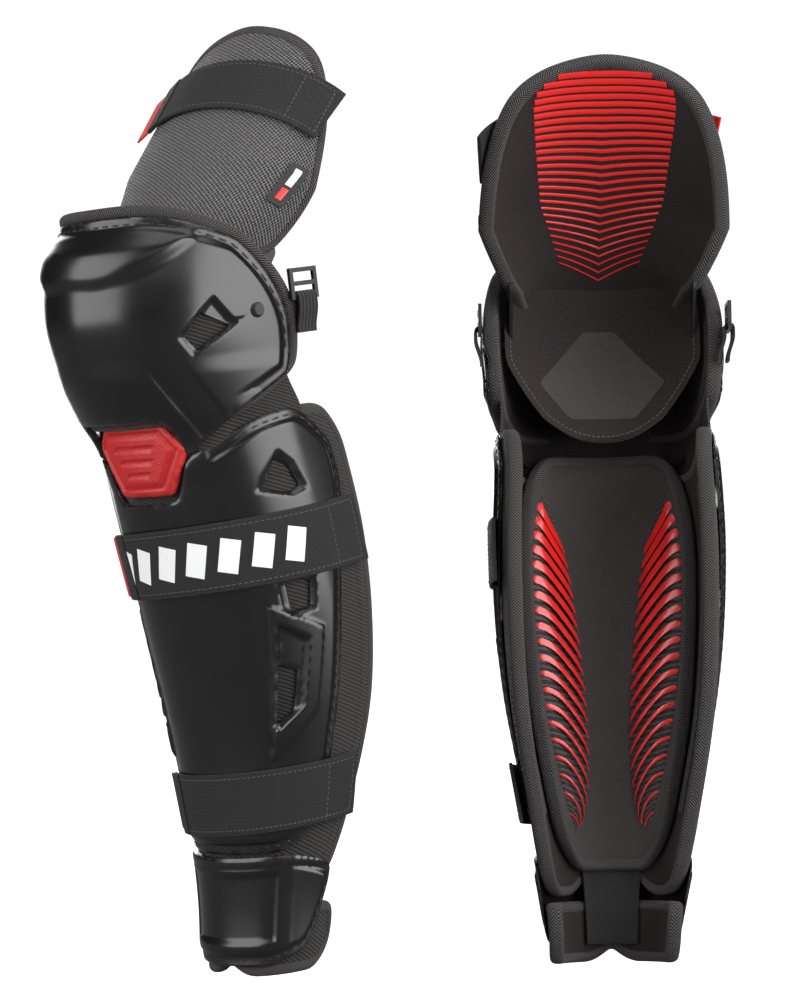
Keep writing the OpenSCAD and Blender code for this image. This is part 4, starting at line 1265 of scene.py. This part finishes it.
def ankle_relief(u, v, far):
    """Flange, raised body with a sunk front panel, and a low brow along its top."""
    phi = np.abs(u) / SHIN_MM
    side = step(far, 5.0, 7.5) * (1 - step(v, 60, 66)) + step(v, 60, 66)
    top = 2.9 + 1.7 * side - 0.8 * step(0.9 - far, 0, 0.9)
    panel = step(47 - phi, 0, 3) * step(v, 20, 24) * (1 - step(v, 58, 62))
    return top - 1.3 * panel + 0.7 * step(60 - phi, 0, 3) * step(v, 14, 20)


build("ankle_plate_moulding", plate(shin, [plate_rim], 1.1, ankle_relief, level(1.7)),
      [shell_plastic], "ankle", "ankle_plate", sharp=35)

# %% Ankle pad, tape and stitches
ankle_rim = pattern(lambda z: soft_curve(z, [(0, 76), (12, 98), (30, 102), (39, 98)]),
                    lambda s: 4 + 9 * np.maximum(0, 1 - np.abs(s) / 0.35)**2, lambda s: 35 + 0 * s,
                    SHIN_MM, 4.0)
build("ankle_pad_foam", pad(shin, ankle_rim, 1.8, -8, -1, 2.4, 7.0), [side_mesh, lining], "ankle",
      "ankle_pad", declare=foam())
build("ankle_binding_tape", tape_round(shin, ankle_rim, -8, -1, 7.0, 3.2, 2.4), [tape], "ankle",
      "ankle_binding")
seam = shifted(plate_rim, 3.4)
part = seam[seam[:, 1] < 54]
box = [(-20, 17), (20, 17), (20, 34), (-20, 34), (-20, 17), (20, 34), (20, 17), (-20, 34)]
tab_seam = even(box, 1.0, False)
plate_seam = run_of(part, np.arctan2(part[:, 0], 60 - part[:, 1]))
build("ankle_stitches", together(stitches(shin, plate_seam, 2.9, 7.0, 5.2, 0.55),
                                 stitches(shin, tab_seam, -11.45, 2.6, 1.8, 0.3)),
      [thread], "ankle")

# %% Elastic tab
z = np.linspace(12, 62, 40)
tab_skin = ribbon(shin, np.stack([0 * z, z], 1), -33.6, 33.6, -11.4, -9.8, False, 12, 28)
tab_pair = build("elastic_tab_band", tab_skin, [elastic], "ankle", "elastic_tab", ride=False)
for side, piece in zip(SIDES, tab_pair):
    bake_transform(piece)

# %% [markdown]
# ## Finishes on the CAD nodes
# Rivets, rings, hinge ears and the hook strips keep their CAD shape, and only take their finish.

# %% CAD nodes
hook_plain = plastic("hook strip plastic", grey(0.02), grey(0.02), 0.6, 0.0)
for side in SIDES:
    for node, finish in (("hinge_rivets", rivet_plastic), ("side_rings", ring_plastic),
                         ("hinge_ears", rivet_plastic), ("hook_strips", hook_plain)):
        data = frame["nodes"][f"{side}_{node}"].data
        data.materials.clear()
        data.materials.append(finish)

# %% [markdown]
# ## Studio
# A pale floor and a white room stand in for a product shoot, and the object can be seen from every side.
# Two tall soft boxes stand left and right of the camera and leave the front dark, which draws the long
# soft lights on black plastic. Floor and room are white to the camera and dim to everything else.

# %% Floor, lights and surroundings
low = cad_box[0][2] - 0.001
verts = [(x, y, low) for x, y in ((-7.0, -7.0), (7.0, -7.0), (7.0, 7.0), (-7.0, 7.0))]
floor_mesh = bpy.data.meshes.new("floor")
floor_mesh.from_pydata(verts, [], [(0, 1, 2, 3)])
floor = bpy.data.objects.new("floor", floor_mesh)
bpy.context.scene.collection.objects.link(floor)
paper, tree, shader, where = start_finish("pale floor", 0.9)
shader.inputs["Base Color"].default_value = grey(0.10)
shader.inputs["Emission Color"].default_value = (1, 1, 1, 1)
seen = put(tree, "ShaderNodeLightPath")
tree.links.new(ramp(tree, seen.outputs["Is Camera Ray"], 0.0, 1.0, 0.06, 1.3),
               shader.inputs["Emission Strength"])
floor_mesh.materials.append(paper)


def soft_box(name, place, aim, wide, tall, power):
    """A large soft light at a place, turned to aim at a point."""
    light = bpy.data.lights.new(name, "AREA")
    light.shape, light.size, light.size_y, light.energy = "RECTANGLE", wide, tall, power
    lamp = bpy.data.objects.new(name, light)
    lamp.location = place
    away = np.array(place, float) - np.array(aim, float)
    lamp.rotation_euler = (math.atan2(math.hypot(away[0], away[1]), away[2]), 0,
                           math.atan2(away[1], away[0]) + math.pi / 2)
    bpy.context.scene.collection.objects.link(lamp)


soft_box("left box", (-1.40, -0.92, 0.5), (0, 0, 0.27), 1.7, 2.2, 52)
soft_box("right box", (1.40, -1.05, 0.5), (0.05, 0, 0.27), 1.9, 2.2, 80)
soft_box("top box", (0.1, -0.4, 1.9), (0.08, 0, 0.3), 1.4, 1.0, 9)
soft_box("back box", (0.1, 2.1, 0.9), (0.08, 0, 0.3), 2.4, 1.6, 45)
soft_box("front box", (0.1, -2.3, 1.25), (0.08, 0, 0.3), 1.3, 0.7, 3)
bpy.context.scene.view_settings.view_transform = "Standard"
world = bpy.data.worlds.new("room")
bpy.context.scene.world = world
world.use_nodes = True
world.node_tree.nodes["Background"].inputs[0].default_value = (1, 1, 1, 1)
seen = put(world.node_tree, "ShaderNodeLightPath")
strength = ramp(world.node_tree, seen.outputs["Is Camera Ray"], 0.0, 1.0, 0.025, 1.1)
world.node_tree.links.new(strength, world.node_tree.nodes["Background"].inputs[1])
